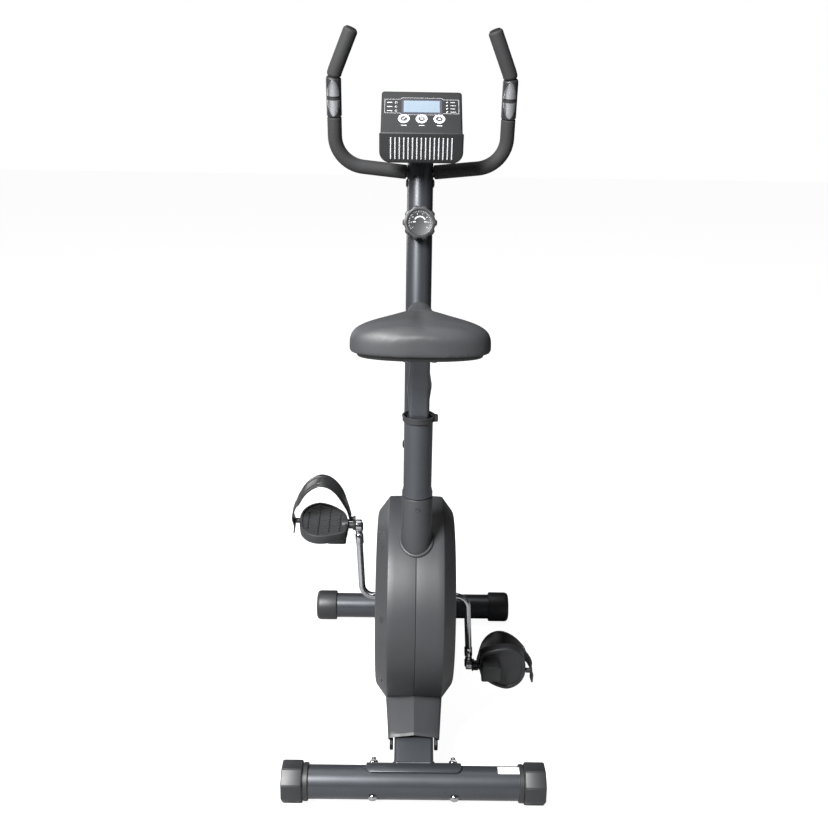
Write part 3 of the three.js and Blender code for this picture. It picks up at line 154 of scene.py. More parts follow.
# materials: one row each, worn and patch colours are mixed over the base colour
finishes = {
    "framePaint": dict(color=(0.050, 0.054, 0.061), patch=(0.042, 0.046, 0.052), worn=(0.12, 0.123, 0.13),
                       roughness=0.36, spread=0.07, metallic=0.55, grain=1500, height=0.00003, wear=0.45,
                       coat=0.25),
    "blackPaint": dict(color=(0.012, 0.012, 0.013), patch=(0.018, 0.018, 0.019), worn=(0.09, 0.09, 0.09),
                       roughness=0.38, spread=0.08, metallic=0.2, grain=1400, height=0.00003, wear=0.4),
    "housingPlastic": dict(color=(0.027, 0.028, 0.031), patch=(0.022, 0.023, 0.025), worn=(0.06, 0.061, 0.064),
                           roughness=0.50, spread=0.06, grain=1100, height=0.00006, wear=0.35),
    "trimPlastic": dict(color=(0.017, 0.0175, 0.019), patch=(0.013, 0.0135, 0.0145), worn=(0.05, 0.05, 0.052),
                        roughness=0.46, spread=0.07, grain=1300, height=0.00005, wear=0.4),
    "consolePlastic": dict(color=(0.0045, 0.0048, 0.0056), patch=(0.0055, 0.0058, 0.0066), worn=(0.02, 0.02, 0.021),
                           roughness=0.55, spread=0.06, grain=1400, height=0.00004, wear=0.3),
    "foamRubber": dict(color=(0.011, 0.0112, 0.012), patch=(0.015, 0.015, 0.016), worn=(0.03, 0.03, 0.03),
                       roughness=0.80, spread=0.06, grain=1700, height=0.00022, pebble=0.55, wear=0.25),
    "seatCover": dict(color=(0.030, 0.031, 0.034), patch=(0.024, 0.025, 0.027), worn=(0.05, 0.05, 0.053),
                      roughness=0.56, spread=0.08, grain=620, height=0.00016, pebble=0.85, wear=0.2),
    "strapRubber": dict(color=(0.013, 0.013, 0.014), patch=(0.02, 0.02, 0.021), worn=(0.045, 0.045, 0.047),
                        roughness=0.34, spread=0.08, grain=900, height=0.00005, wear=0.3),
    "beltRubber": dict(color=(0.008, 0.008, 0.008), patch=(0.014, 0.014, 0.014), worn=(0.03, 0.03, 0.03),
                       roughness=0.8, spread=0.08, grain=900, height=0.0001, wear=0.3),
    "chrome": dict(color=(0.46, 0.47, 0.49), patch=(0.38, 0.39, 0.41), worn=(0.28, 0.28, 0.28),
                   roughness=0.13, spread=0.06, metallic=1.0, grain=500, height=0.000015, wear=0.3),
    "zincSteel": dict(color=(0.40, 0.41, 0.43), patch=(0.30, 0.31, 0.33), worn=(0.55, 0.55, 0.56),
                      roughness=0.34, spread=0.1, metallic=1.0, grain=900, height=0.00003, wear=0.4),
    "castIron": dict(color=(0.09, 0.092, 0.095), patch=(0.06, 0.06, 0.062), worn=(0.2, 0.2, 0.2),
                     roughness=0.52, spread=0.1, metallic=0.9, grain=700, height=0.0001, wear=0.5),
    "silverPlate": dict(color=(0.44, 0.45, 0.47), patch=(0.36, 0.37, 0.39), worn=(0.6, 0.6, 0.6),
                        roughness=0.27, spread=0.07, metallic=0.9, grain=1500, height=0.00002, wear=0.2),
    "screenGlass": dict(color=(0.120, 0.160, 0.200), patch=(0.140, 0.185, 0.225), worn=(0.25, 0.3, 0.33),
                        roughness=0.22, spread=0.05, grain=2600, height=0.00001, wear=0.0, coat=0.6),
    "screenBorder": dict(color=(0.012, 0.010, 0.022), patch=(0.02, 0.016, 0.034), worn=(0.05, 0.05, 0.06),
                         roughness=0.2, spread=0.04, grain=1500, height=0.00001, wear=0.1, coat=0.5),
    "buttonWhite": dict(color=(0.72, 0.73, 0.74), patch=(0.66, 0.67, 0.68), worn=(0.5, 0.5, 0.5),
                        roughness=0.36, spread=0.06, grain=1500, height=0.00002, wear=0.2),
    # light grey for print; on the console's grille ribs the same grey is partly their own lighter plastic and partly
    # painted highlight for the light their edges catch
    "printInk": dict(color=(0.50, 0.51, 0.53), patch=(0.42, 0.43, 0.45), worn=(0.3, 0.3, 0.3),
                     roughness=0.5, spread=0.08, grain=2200, height=0.00001, wear=0.2),
    "labelPaper": dict(color=(0.78, 0.79, 0.80), patch=(0.72, 0.73, 0.75), worn=(0.6, 0.6, 0.6),
                       roughness=0.55, spread=0.06, grain=1800, height=0.00002, wear=0.15),
    "floorPaper": dict(color=(0.30, 0.30, 0.302), patch=(0.29, 0.29, 0.292), worn=(0.3, 0.3, 0.3),
                       roughness=0.75, spread=0.05, grain=300, height=0.00005, wear=0.0),
}


def makeMaterial(name, color, patch, worn, roughness, spread, grain, height, wear,
                 metallic=0.0, pebble=0.0, coat=0.0):
    material = bpy.data.materials.new(name)
    material.use_nodes = True
    tree = material.node_tree
    shader = tree.nodes["Principled BSDF"]
    smudge = addNode(tree, "ShaderNodeGroup", node_tree=smudgeGroup)
    edges = addNode(tree, "ShaderNodeGroup", node_tree=wearGroup)
    edges.inputs["Amount"].default_value = wear
    relief = addNode(tree, "ShaderNodeGroup", node_tree=grainGroup)
    relief.inputs["Scale"].default_value = grain
    relief.inputs["Pebble"].default_value = pebble
    patches = addNode(tree, "ShaderNodeMix", {0: smudge.outputs["Patch"], 6: (*color, 1), 7: (*patch, 1)},
                      data_type="RGBA").outputs[2]
    wornOver = addNode(tree, "ShaderNodeMix", {0: edges.outputs["Mask"], 6: patches, 7: (*worn, 1)},
                       data_type="RGBA").outputs[2]
    gloss = addNode(tree, "ShaderNodeMapRange",
                    {0: smudge.outputs["Patch"], 3: roughness - spread, 4: roughness + spread}).outputs[0]
    bump = addNode(tree, "ShaderNodeBump", {"Height": relief.outputs["Height"], "Distance": height,
                                            "Strength": 1.0}).outputs[0]
    tree.links.new(wornOver, shader.inputs["Base Color"])
    tree.links.new(gloss, shader.inputs["Roughness"])
    tree.links.new(bump, shader.inputs["Normal"])
    shader.inputs["Metallic"].default_value = metallic
    if coat:
        shader.inputs["Coat Weight"].default_value = coat
        shader.inputs["Coat Roughness"].default_value = 0.22
    return material


materials = {name: makeMaterial(name, **row) for name, row in finishes.items()}
print("materials made")


# making meshes
def placeAt(origin, lean=0.0):
    # a frame at origin, turned about X by lean degrees
    return Matrix.Translation(origin) @ Matrix.Rotation(math.radians(lean), 4, "X")


def newPiece(name, vertices, faces, finish, sharp=32, recalculate=True):
    mesh = bpy.data.meshes.new(name)
    mesh.from_pydata([tuple(v) for v in vertices], [], faces)
    piece = bpy.data.objects.new(name, mesh)
    scene.collection.objects.link(piece)
    mesh.materials.append(materials[finish])
    piece["finish"] = finish
    return smoothEdges(piece, sharp, recalculate)


def smoothEdges(piece, sharp=32, recalculate=True):
    work = bmesh.new()
    work.from_mesh(piece.data)
    bmesh.ops.remove_doubles(work, verts=work.verts, dist=0.000005)
    bmesh.ops.dissolve_degenerate(work, edges=work.edges, dist=0.000002)
    if recalculate:
        bmesh.ops.recalc_face_normals(work, faces=work.faces)
    for face in work.faces:
        face.smooth = True
    limit = math.radians(sharp)
    for edge in work.edges:
        edge.smooth = len(edge.link_faces) == 2 and edge.calc_face_angle(0) < limit
    work.to_mesh(piece.data)
    work.free()
    return piece


def baked(piece, sharp=32, recalculate=False):
    # turns what the modifiers give into the piece's own mesh
    evaluated = piece.evaluated_get(bpy.context.evaluated_depsgraph_get())
    mesh = bpy.data.meshes.new_from_object(evaluated)
    piece.modifiers.clear()
    piece.data = mesh
    if not mesh.materials:
        mesh.materials.append(materials[piece["finish"]])
    return smoothEdges(piece, sharp, recalculate)


def ringFaces(ringCount, around, capped=True, joined=False):
    faces = []
    for r in range(ringCount if joined else ringCount - 1):
        here, there = r * around, ((r + 1) % ringCount) * around
        for i in range(around):
            j = (i + 1) % around
            faces.append((here + i, here + j, there + j, there + i))
    if capped and not joined:
        faces.append(tuple(reversed(range(around))))
        faces.append(tuple(range((ringCount - 1) * around, ringCount * around)))
    return faces


def loft(name, rings, finish, sharp=32, capped=True, joined=False):
    vertices = [v for ring in rings for v in ring]
    faces = ringFaces(len(rings), len(rings[0]), capped, joined)
    return newPiece(name, vertices, faces, finish, sharp)


def lathe(name, profile, finish, matrix, around=48, joined=False):
    # profile rows are (radius, height)
    rings = []
    for radius, height in profile:
        ring = []
        for i in range(around):
            angle = 2 * math.pi * i / around
            ring.append(matrix @ Vector((radius * math.cos(angle), radius * math.sin(angle), height)))
        rings.append(ring)
    return loft(name, rings, finish, joined=joined)


def roundedOutline(width, height, corner, steps=5):
    points = []
    for quarter, (sx, sy) in enumerate(((1, 1), (-1, 1), (-1, -1), (1, -1))):
        for i in range(steps + 1):
            angle = math.radians(90 * (quarter + i / steps))
            points.append((sx * (width / 2 - corner) + corner * math.cos(angle),
                           sy * (height / 2 - corner) + corner * math.sin(angle)))
    return points


def slabRing(inner, outer, across, halfWidth, corner, steps=3):
    # a rounded rectangle from inner to outer, and halfWidth to either side along across
    inner, outer = Vector(inner), Vector(outer)
    through = outer - inner
    corner = min(corner, through.length * 0.49, halfWidth * 0.49)
    outline = roundedOutline(2 * halfWidth, through.length, corner, steps)
    middle, through = (inner + outer) / 2, through.normalized()
    return [middle + Vector(across) * x + through * y for x, y in outline]


def cornerInset(distance, radius):
    # how far a rounded corner draws in at a distance from the end
    if distance >= radius:
        return 0.0
    return radius - math.sqrt(max(0.0, radius ** 2 - (radius - distance) ** 2))


def roundedPath(corners, radii, steps=10):
    corners = [Vector(c) for c in corners]
    points = [corners[0]]
    for i in range(1, len(corners) - 1):
        radius = radii[i - 1] if isinstance(radii, (list, tuple)) else radii
        back = (corners[i - 1] - corners[i]).normalized()
        ahead = (corners[i + 1] - corners[i]).normalized()
        half = back.angle(ahead) / 2
        reach = radius / math.tan(half)
        centre = corners[i] + (back + ahead).normalized() * (radius / math.sin(half))
        start = corners[i] + back * reach - centre
        end = corners[i] + ahead * reach - centre
        sweep = start.angle(end)
        for s in range(steps + 1):
            points.append(centre + start * (math.sin(sweep * (1 - s / steps)) / math.sin(sweep))
                          + end * (math.sin(sweep * s / steps) / math.sin(sweep)))
    points.append(corners[-1])
    return points


def throughPoints(points, steps=8, closed=False):
    # a smooth curve through points
    points = [Vector(p) for p in points]
    count = len(points)
    result = []
    for i in range(count if closed else count - 1):
        four = []
        for k in (-1, 0, 1, 2):
            index = (i + k) % count if closed else min(max(i + k, 0), count - 1)
            four.append(points[index])
        a, b, c, d = four
        for s in range(steps):
            t = s / steps
            result.append(0.5 * ((2 * b) + (c - a) * t + (2 * a - 5 * b + 4 * c - d) * t ** 2
                                 + (3 * b - a - 3 * c + d) * t ** 3))
    if not closed:
        result.append(points[-1])
    return result


def lengthsAlong(points):
    lengths = [0.0]
    for a, b in zip(points, points[1:]):
        lengths.append(lengths[-1] + (Vector(b) - Vector(a)).length)
    return lengths


def pointAlong(points, lengths, distance):
    for i in range(1, len(points)):
        if distance <= lengths[i] or i == len(points) - 1:
            share = (distance - lengths[i - 1]) / max(lengths[i] - lengths[i - 1], 1e-9)
            return Vector(points[i - 1]).lerp(Vector(points[i]), share)


def pathStretch(points, start, end):
    lengths = lengthsAlong(points)
    inside = [Vector(p) for p, d in zip(points, lengths) if start + 1e-5 < d < end - 1e-5]
    return [pointAlong(points, lengths, start), *inside, pointAlong(points, lengths, end)]


# geometry node trees
def makeTubeTree():
    # a round tube along a chain of points; the attribute "girth" scales its radius from place to place
    tree, given, result = startGroup(
        "tubeAlongPath",
        {"Path": ("NodeSocketGeometry", None), "Radius": ("NodeSocketFloat", 0.01),
         "Sides": ("NodeSocketInt", 48), "Finish": ("NodeSocketMaterial", None)},
        {"Tube": "NodeSocketGeometry"}, "GeometryNodeTree")
    line = addNode(tree, "GeometryNodeMeshToCurve", {"Mesh": given.outputs["Path"]}).outputs[0]
    profile = addNode(tree, "GeometryNodeCurvePrimitiveCircle",
                      {"Resolution": given.outputs["Sides"], "Radius": given.outputs["Radius"]}).outputs[0]
    girth = addNode(tree, "GeometryNodeInputNamedAttribute", {"Name": "girth"}, data_type="FLOAT").outputs[0]
    skin = addNode(tree, "GeometryNodeCurveToMesh",
                   {"Curve": line, "Profile Curve": profile, "Scale": girth, "Fill Caps": True}).outputs[0]
    smooth = addNode(tree, "GeometryNodeSetShadeSmooth", {"Geometry": skin}).outputs[0]
    real = addNode(tree, "GeometryNodeRealizeInstances", {"Geometry": smooth}).outputs[0]
    finished = addNode(tree, "GeometryNodeSetMaterial",
                       {"Geometry": real, "Material": given.outputs["Finish"]}).outputs[0]
    tree.links.new(finished, result.inputs["Tube"])
    return tree


def makeRepeatTree():
    # one fitting at every point, turned as the attribute "turn" says
    tree, given, result = startGroup(
        "repeatFitting",
        {"Points": ("NodeSocketGeometry", None), "Fitting": ("NodeSocketObject", None),
         "Finish": ("NodeSocketMaterial", None)},
        {"Fittings": "NodeSocketGeometry"}, "GeometryNodeTree")
    one = addNode(tree, "GeometryNodeObjectInfo", {"Object": given.outputs["Fitting"]}).outputs["Geometry"]
    turn = addNode(tree, "GeometryNodeInputNamedAttribute", {"Name": "turn"}, data_type="FLOAT_VECTOR").outputs[0]
    rotation = addNode(tree, "FunctionNodeEulerToRotation", {0: turn}).outputs[0]
    placed = addNode(tree, "GeometryNodeInstanceOnPoints",
                     {"Points": given.outputs["Points"], "Instance": one, "Rotation": rotation}).outputs[0]
    real = addNode(tree, "GeometryNodeRealizeInstances", {"Geometry": placed}).outputs[0]
    finished = addNode(tree, "GeometryNodeSetMaterial",
                       {"Geometry": real, "Material": given.outputs["Finish"]}).outputs[0]
    tree.links.new(finished, result.inputs["Fittings"])
    return tree


def makeDialTree():
    # marks along part of a ring that lies in the XY plane
    number = "NodeSocketFloat"
    tree, given, result = startGroup(
        "dialMarks",
        {"Start": ("NodeSocketGeometry", None), "Count": ("NodeSocketInt", 9), "Radius": (number, 0.02),
         "First Angle": (number, 0.0), "Sweep": (number, 3.0), "Length": (number, 0.003),
         "Width": (number, 0.001), "Depth": (number, 0.0004), "Finish": ("NodeSocketMaterial", None)},
        {"Marks": "NodeSocketGeometry"}, "GeometryNodeTree")
    arc = addNode(tree, "GeometryNodeCurveArc",
                  {"Resolution": 128, "Radius": given.outputs["Radius"],
                   "Start Angle": given.outputs["First Angle"], "Sweep Angle": given.outputs["Sweep"]}).outputs[0]
    spots = addNode(tree, "GeometryNodeCurveToPoints", {"Curve": arc, "Count": given.outputs["Count"]})
    size = addNode(tree, "ShaderNodeCombineXYZ",
                   {"X": given.outputs["Length"], "Y": given.outputs["Width"], "Z": given.outputs["Depth"]}).outputs[0]
    mark = addNode(tree, "GeometryNodeMeshCube", {"Size": size}).outputs[0]
    place = addNode(tree, "GeometryNodeInputPosition").outputs[0]
    parts = addNode(tree, "ShaderNodeSeparateXYZ", {0: place}).outputs
    angle = addNode(tree, "ShaderNodeMath", {0: parts["Y"], 1: parts["X"]}, operation="ARCTAN2").outputs[0]
    euler = addNode(tree, "ShaderNodeCombineXYZ", {"Z": angle}).outputs[0]
    turn = addNode(tree, "FunctionNodeEulerToRotation", {0: euler}).outputs[0]
    placed = addNode(tree, "GeometryNodeInstanceOnPoints",
                     {"Points": spots.outputs["Points"], "Instance": mark, "Rotation": turn}).outputs[0]
    real = addNode(tree, "GeometryNodeRealizeInstances", {"Geometry": placed}).outputs[0]
    finished = addNode(tree, "GeometryNodeSetMaterial",
                       {"Geometry": real, "Material": given.outputs["Finish"]}).outputs[0]
    tree.links.new(finished, result.inputs["Marks"])
    return tree


tubeTree = makeTubeTree()
repeatTree = makeRepeatTree()
dialTree = makeDialTree()


def runTree(piece, tree, values):
    modifier = piece.modifiers.new("nodes", "NODES")
    modifier.node_group = tree
    for item in tree.interface.items_tree:
        if item.item_type == "SOCKET" and item.in_out == "INPUT" and item.name in values:
            modifier[item.identifier] = values[item.name]
    return modifier


def chainPiece(name, points, finish, attribute=None, kind="FLOAT", values=None, closed=False, edges=True):
    mesh = bpy.data.meshes.new(name)
    count = len(points)
    links = [(i, i + 1) for i in range(count - 1)] + ([(count - 1, 0)] if closed else [])
    mesh.from_pydata([tuple(p) for p in points], links if edges else [], [])
    if attribute:
        layer = mesh.attributes.new(attribute, kind, "POINT")
        if kind == "FLOAT":
            layer.data.foreach_set("value", values)
        else:
            layer.data.foreach_set("vector", [n for v in values for n in v])
    piece = bpy.data.objects.new(name, mesh)
    scene.collection.objects.link(piece)
    piece["finish"] = finish
    return piece


def tubeAlong(name, points, radius, finish, sides=48, soften=0.0, closed=False, girths=None, sharp=40):
    # soften rounds the two ends over that length
    points = [Vector(p) for p in points]
    girths = list(girths) if girths else [1.0] * len(points)
    if soften:
        lengths = lengthsAlong(points)
        total = lengths[-1]
        steps = 6
        turns = [math.pi / 2 * k / steps for k in range(steps + 1)]
        ends = [(soften * (1 - math.cos(turn)), 1 - soften / radius * (1 - math.sin(turn))) for turn in turns]
        inner = [(d, g) for d, g in zip(lengths, girths) if soften * 1.05 < d < total - soften * 1.05]
        rows = ends + inner + [(total - d, g) for d, g in reversed(ends)]
        points = [pointAlong(points, lengths, d) for d, g in rows]
        girths = [g for d, g in rows]
    chain = chainPiece(name, points, finish, "girth", "FLOAT", girths, closed)
    runTree(chain, tubeTree, {"Radius": radius, "Sides": sides, "Finish": materials[finish]})
    return baked(chain, sharp, True)


def repeated(name, fitting, points, turns, finish):
    spots = chainPiece(name, points, finish, "turn", "FLOAT_VECTOR", turns, edges=False)
    runTree(spots, repeatTree, {"Fitting": fitting, "Finish": materials[finish]})
    result = baked(spots)
    if fitting.name in bpy.data.objects:
        bpy.data.objects.remove(fitting)
    return result


def joinPieces(name, pieces):
    # several pieces of one finish become one
    work = bmesh.new()
    for piece in pieces:
        work.from_mesh(piece.data)
    mesh = bpy.data.meshes.new(name)
    work.to_mesh(mesh)
    work.free()
    finish = pieces[0]["finish"]
    for piece in pieces:
        bpy.data.objects.remove(piece)
    whole = bpy.data.objects.new(name, mesh)
    scene.collection.objects.link(whole)
    mesh.materials.append(materials[finish])
    whole["finish"] = finish
    return whole


def keep(piece, body, *nodes):
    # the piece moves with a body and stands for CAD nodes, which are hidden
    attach(piece, body)
    if nodes:
        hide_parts(*nodes)
    return piece


def thickened(piece, thickness, sharp):
    modifier = piece.modifiers.new("wall", "SOLIDIFY")
    modifier.thickness = thickness
    modifier.offset = -1.0
    return baked(piece, sharp)


seatAxis = placeAt((0, -0.171, 0.142), 3.74)
mastAxis = placeAt((0, 0.033, 0.158), -10.03)
barPlane = mastAxis @ placeAt((0, 0, 0.958), 25.83)
panelPlane = placeAt((0, 0.084, 1.182), 45)  # X across, Y up the console's panel, Z out of it
alongX = Matrix.Rotation(math.radians(90), 4, "Y")
bothSides = (("left", -1), ("right", 1))
print("tools ready")

# feet
feet = {
    "tubeRadius": 0.030,
    "rear": {"y": -0.357, "z": 0.0355, "half": 0.229},
    "front": {"y": 0.357, "z": 0.036, "half": 0.200},
    "beamTop": (0.080, 0.158),  # where the beam's level middle ends, and its height
    "saddleHalf": 0.087,
    "saddleThick": 0.004,
    "boltSpread": 0.148,
    "label": {"x": 0.174, "length": 0.041, "width": 0.019, "angle": 86},
}


def footSlope(word):
    knee, top = feet["beamTop"]
    foot = feet[word]
    return math.atan2(top - foot["z"], abs(foot["y"]) - knee)


def footFrame(word):
    # at the foot's centre, with Y up along the beam and Z out of the beam's upper face
    foot = feet[word]
    slope = footSlope(word)
    side = 1 if word == "rear" else -1
    along = Vector((0, side * math.cos(slope), math.sin(slope)))
    up = Vector((0, -side * math.sin(slope), math.cos(slope)))
    turn = Matrix((Vector((1, 0, 0)), along, up)).transposed().to_4x4()
    return Matrix.Translation((0, foot["y"], foot["z"])) @ turn


def saddlePlate(word):
    radius, thick = feet["tubeRadius"] + 0.0003, feet["saddleThick"]
    place = footFrame(word)
    rings = []
    steps = 40
    for i in range(steps + 1):
        share = i / steps
        eased = 0.5 - 0.5 * math.cos(math.pi * share)
        angle = math.pi * eased
        edge = min(angle, math.pi - angle) * (radius + thick)
        half = feet["saddleHalf"] - cornerInset(edge, 0.011)
        shrink = 0.0012 if i in (0, steps) else 0.0
        outward = Vector((0, math.sin(angle), math.cos(angle)))
        inner = place @ (outward * (radius + shrink))
        outer = place @ (outward * (radius + thick - shrink))
        rings.append(slabRing(inner, outer, (1, 0, 0), half - shrink, 0.0012))
    return loft(word + "Saddle", rings, "framePaint", 40)


def footBolts(word):
    # carriage bolts: a domed head under the tube, a washer and a nut on the saddle
    head = [(0.0001, -0.0362), (0.0035, -0.0359), (0.0062, -0.0348), (0.0078, -0.0328), (0.0082, -0.0303)]
    shaft = [(0.004, -0.0300), (0.004, 0.0350)]
    washer = [(0.0095, 0.0350), (0.0097, 0.0355), (0.0097, 0.0362), (0.0092, 0.0366)]
    end = [(0.0042, 0.0430), (0.0042, 0.0490), (0.0030, 0.0500), (0.0001, 0.0500)]
    bolt = lathe("boltBody", head + shaft + washer + end, "chrome", Matrix.Identity(4), 24)
    hexagon = [(0.0070 / math.cos(math.radians((math.degrees(2 * math.pi * i / 24) % 60) - 30))) for i in range(24)]
    nutRings = [[Vector((r * s * math.cos(2 * math.pi * i / 24), r * s * math.sin(2 * math.pi * i / 24), z))
                 for i, r in enumerate(hexagon)] for s, z in ((0.93, 0.0367), (1, 0.0374), (1, 0.0424), (0.93, 0.0431))]
    nut = loft("boltNut", nutRings, "chrome")
    whole = joinPieces("footBolt", [bolt, nut])
    turn = (footFrame(word).to_3x3() @ Matrix.Rotation(math.radians(-90), 3, "X")).to_euler()
    foot = feet[word]
    half = feet["boltSpread"] / 2
    points = [(-half, foot["y"], foot["z"]), (half, foot["y"], foot["z"])]
    return repeated(word + "FootBolts", whole, points, [tuple(turn)] * 2, "chrome")


for word, foot in (("rear", feet["rear"]), ("front", feet["front"])):
    ends = [(-foot["half"], foot["y"], foot["z"]), (foot["half"], foot["y"], foot["z"])]
    keep(tubeAlong(word + "FootTube", ends, feet["tubeRadius"], "framePaint", 96), "frame", word + "_foot_tube")
    keep(footBolts(word), "frame", word + "_left_foot_bolt", word + "_right_foot_bolt")


def labelPatch(settings):
    radius = feet["tubeRadius"] + 0.0002
    span = settings["width"] / radius
    middle = math.radians(settings["angle"])
    foot = feet["rear"]
    rings = []
    for i in range(13):
        angle = middle + span * (i / 12 - 0.5)
        outward = Vector((0, -math.cos(angle), math.sin(angle)))
        centre = Vector((settings["x"], foot["y"], foot["z"]))
        rings.append(slabRing(centre + outward * (radius - 0.0004), centre + outward * (radius + 0.0001),
                              (1, 0, 0), settings["length"] / 2, 0.0002, 1))
    return loft("blankLabel", rings, "labelPaper", 60)


keep(labelPatch(feet["label"]), "frame")

rearCap = {"flats": 0.071, "inner": 0.202, "outer": 0.240, "collar": 0.034, "collarFrom": 0.192}


def levellingCap(word, side):
    # eight flats with eased corners, a recessed end and a round collar on the tube
    def ring(x, flats, corner=0.0035):
        circum = flats / 2 / math.cos(math.pi / 8)
        points = []
        for k in range(8):
            angle = math.pi / 8 + k * math.pi / 4
            for step in (-1, -0.45, 0, 0.45, 1):
                swing = step * corner / circum
                ease = 1 - 0.011 * (1 - abs(step)) ** 1.4 - (0.004 if abs(step) < 0.9 else 0)
                reach = flats / 2 / math.cos(math.pi / 8 - abs(swing)) if abs(step) == 1 else circum * ease
                points.append(Vector((side * x, reach * math.cos(angle + swing), reach * math.sin(angle + swing))))
        return points
    flats, inner, outer = rearCap["flats"], rearCap["inner"], rearCap["outer"]
    rows = [(inner + 0.001, flats * 0.80), (inner, flats * 0.955), (inner + 0.0012, flats * 0.99),
            (inner + 0.0022, flats), (outer - 0.0035, flats), (outer - 0.0015, flats * 0.985),
            (outer - 0.0003, flats * 0.95), (outer, flats * 0.90), (outer, flats * 0.80),
            (outer - 0.0025, flats * 0.77), (outer - 0.0025, flats * 0.4)]
    place = Matrix.Translation((0, feet["rear"]["y"], feet["rear"]["z"]))
    body = loft("capBody", [[place @ p for p in ring(x, f)] for x, f in rows], "trimPlastic", 24)
    start = rearCap["collarFrom"]
    radius = rearCap["collar"]
    profile = [(0.0302, start + 0.0005), (radius - 0.0012, start), (radius, start + 0.001), (radius, start + 0.0075),
               (radius - 0.0015, start + 0.0085), (radius - 0.0015, inner + 0.004), (0.0302, inner + 0.004)]
    collar = lathe("capCollar", [(r, side * h) for r, h in profile], "trimPlastic", place @ alongX, 64)
    return joinPieces(word + "LevellingCap", [body, collar])


for word, side in bothSides:
    keep(levellingCap(word, side), "rear_" + word + "_leveller", "rear_" + word + "_levelling_cap")

frontCap = {"radius": 0.036, "inner": 0.190, "outer": 0.240, "wheelMiddle": 0.213, "wheelY": 0.3705,
            "wheelZ": 0.026, "wheelRadius": 0.022, "wheelHalf": 0.008}


def endCap(word, side):
    place = Matrix.Translation((0, feet["front"]["y"], feet["front"]["z"]))
    radius, inner, outer = frontCap["radius"], frontCap["inner"], frontCap["outer"]
    profile = [(0.0302, inner + 0.0004), (radius - 0.0018, inner), (radius - 0.0004, inner + 0.0008),
               (radius, inner + 0.0025), (radius, outer - 0.010), (radius - 0.0008, outer - 0.006),
               (radius - 0.003, outer - 0.0028), (radius - 0.007, outer - 0.001), (radius * 0.5, outer - 0.0002),
               (0.0004, outer)]
    cap = lathe(word + "EndCap", [(r, side * h) for r, h in profile], "trimPlastic",
                place @ alongX, 72)
    room = placeAt((0, frontCap["wheelY"], frontCap["wheelZ"])) @ alongX
    middle = side * frontCap["wheelMiddle"]
    half = frontCap["wheelHalf"] + 0.0012
    slot = lathe("wheelRoom", [(0.0245, middle - half), (0.0245, middle + half)], "trimPlastic", room, 48)
    cut = cap.modifiers.new("slot", "BOOLEAN")
    cut.operation = "DIFFERENCE"
    cut.object = slot
    cut.solver = "EXACT"
    baked(cap, 30)
    bpy.data.objects.remove(slot)
    pinEnds = [room @ Vector((0, 0, middle + reach)) for reach in (-half - 0.001, half + 0.001)]
    pin = tubeAlong("wheelPin", pinEnds, 0.0039, "trimPlastic", 24)
    return joinPieces(cap.name + "Whole", [cap, pin])


def transportWheel(word, side):
    radius, half = frontCap["wheelRadius"], frontCap["wheelHalf"]
    profile = [(0.0045, -half + 0.001), (0.0065, -half), (0.0085, -half), (0.0095, -half + 0.0022),
               (0.0175, -half + 0.0022), (0.0185, -half), (radius - 0.002, -half), (radius - 0.0006, -half + 0.0008),
               (radius, -half + 0.0025), (radius, -0.0015), (radius - 0.0011, -0.0007), (radius - 0.0011, 0.0007),
               (radius, 0.0015), (radius, half - 0.0025), (radius - 0.0006, half - 0.0008), (radius - 0.002, half),
               (0.0185, half), (0.0175, half - 0.0022), (0.0095, half - 0.0022), (0.0085, half), (0.0065, half),
               (0.0045, half - 0.001)]
    place = placeAt((side * frontCap["wheelMiddle"], frontCap["wheelY"], frontCap["wheelZ"])) @ alongX
    return lathe(word + "TransportWheel", profile, "trimPlastic", place, 56, joined=True)


for word, side in bothSides:
    keep(endCap(word, side), "frame", "front_" + word + "_end_cap")
    keep(transportWheel(word, side), word + "_wheel", word + "_transport_wheel")
print("feet made")

# lower frame
beam = {"width": 0.073, "height": 0.044, "corner": 0.007, "bend": 0.09, "bead": 0.0022}


def makeBeam():
    knee, top = feet["beamTop"]
    path = roundedPath([(0, feet["rear"]["y"], feet["rear"]["z"]), (0, -knee, top), (0, knee, top),
                        (0, feet["front"]["y"], feet["front"]["z"])], beam["bend"], 14)
    outline = roundedOutline(beam["width"], beam["height"], beam["corner"], 8)
    rings = []
    for i, point in enumerate(path):
        ahead = (path[min(i + 1, len(path) - 1)] - path[max(i - 1, 0)]).normalized()
        up = Vector((0, -ahead.z, ahead.y))
        rings.append([point + Vector((x, 0, 0)) + up * z for x, z in outline])
    return loft("mainBeam", rings, "framePaint", 40)


def weldBead(word):
    place = footFrame(word)
    reach = feet["tubeRadius"] + feet["saddleThick"] + 0.0003
    points = []
    for x, up in roundedOutline(beam["width"], beam["height"], beam["corner"], 8):
        points.append(place @ Vector((x, math.sqrt(reach ** 2 - up ** 2), up)))
    ripple = [1 + 0.14 * math.sin(2.1 * i) for i in range(len(points))]
    return tubeAlong(word + "Weld", points, beam["bead"], "framePaint", 12, closed=True, girths=ripple)


lowerFrame = joinPieces("lowerFrame", [makeBeam(), saddlePlate("rear"), saddlePlate("front"), weldBead("rear"),
                                       weldBead("front")])
keep(lowerFrame, "frame", "lower_frame")

shroud = {"start": 0.0768, "end": 0.225, "halfStart": 0.046, "halfEnd": 0.0555, "low": 0.032, "edge": 0.026,
          "ridge": 0.0355, "wall": 0.0022, "hook": 0.009}


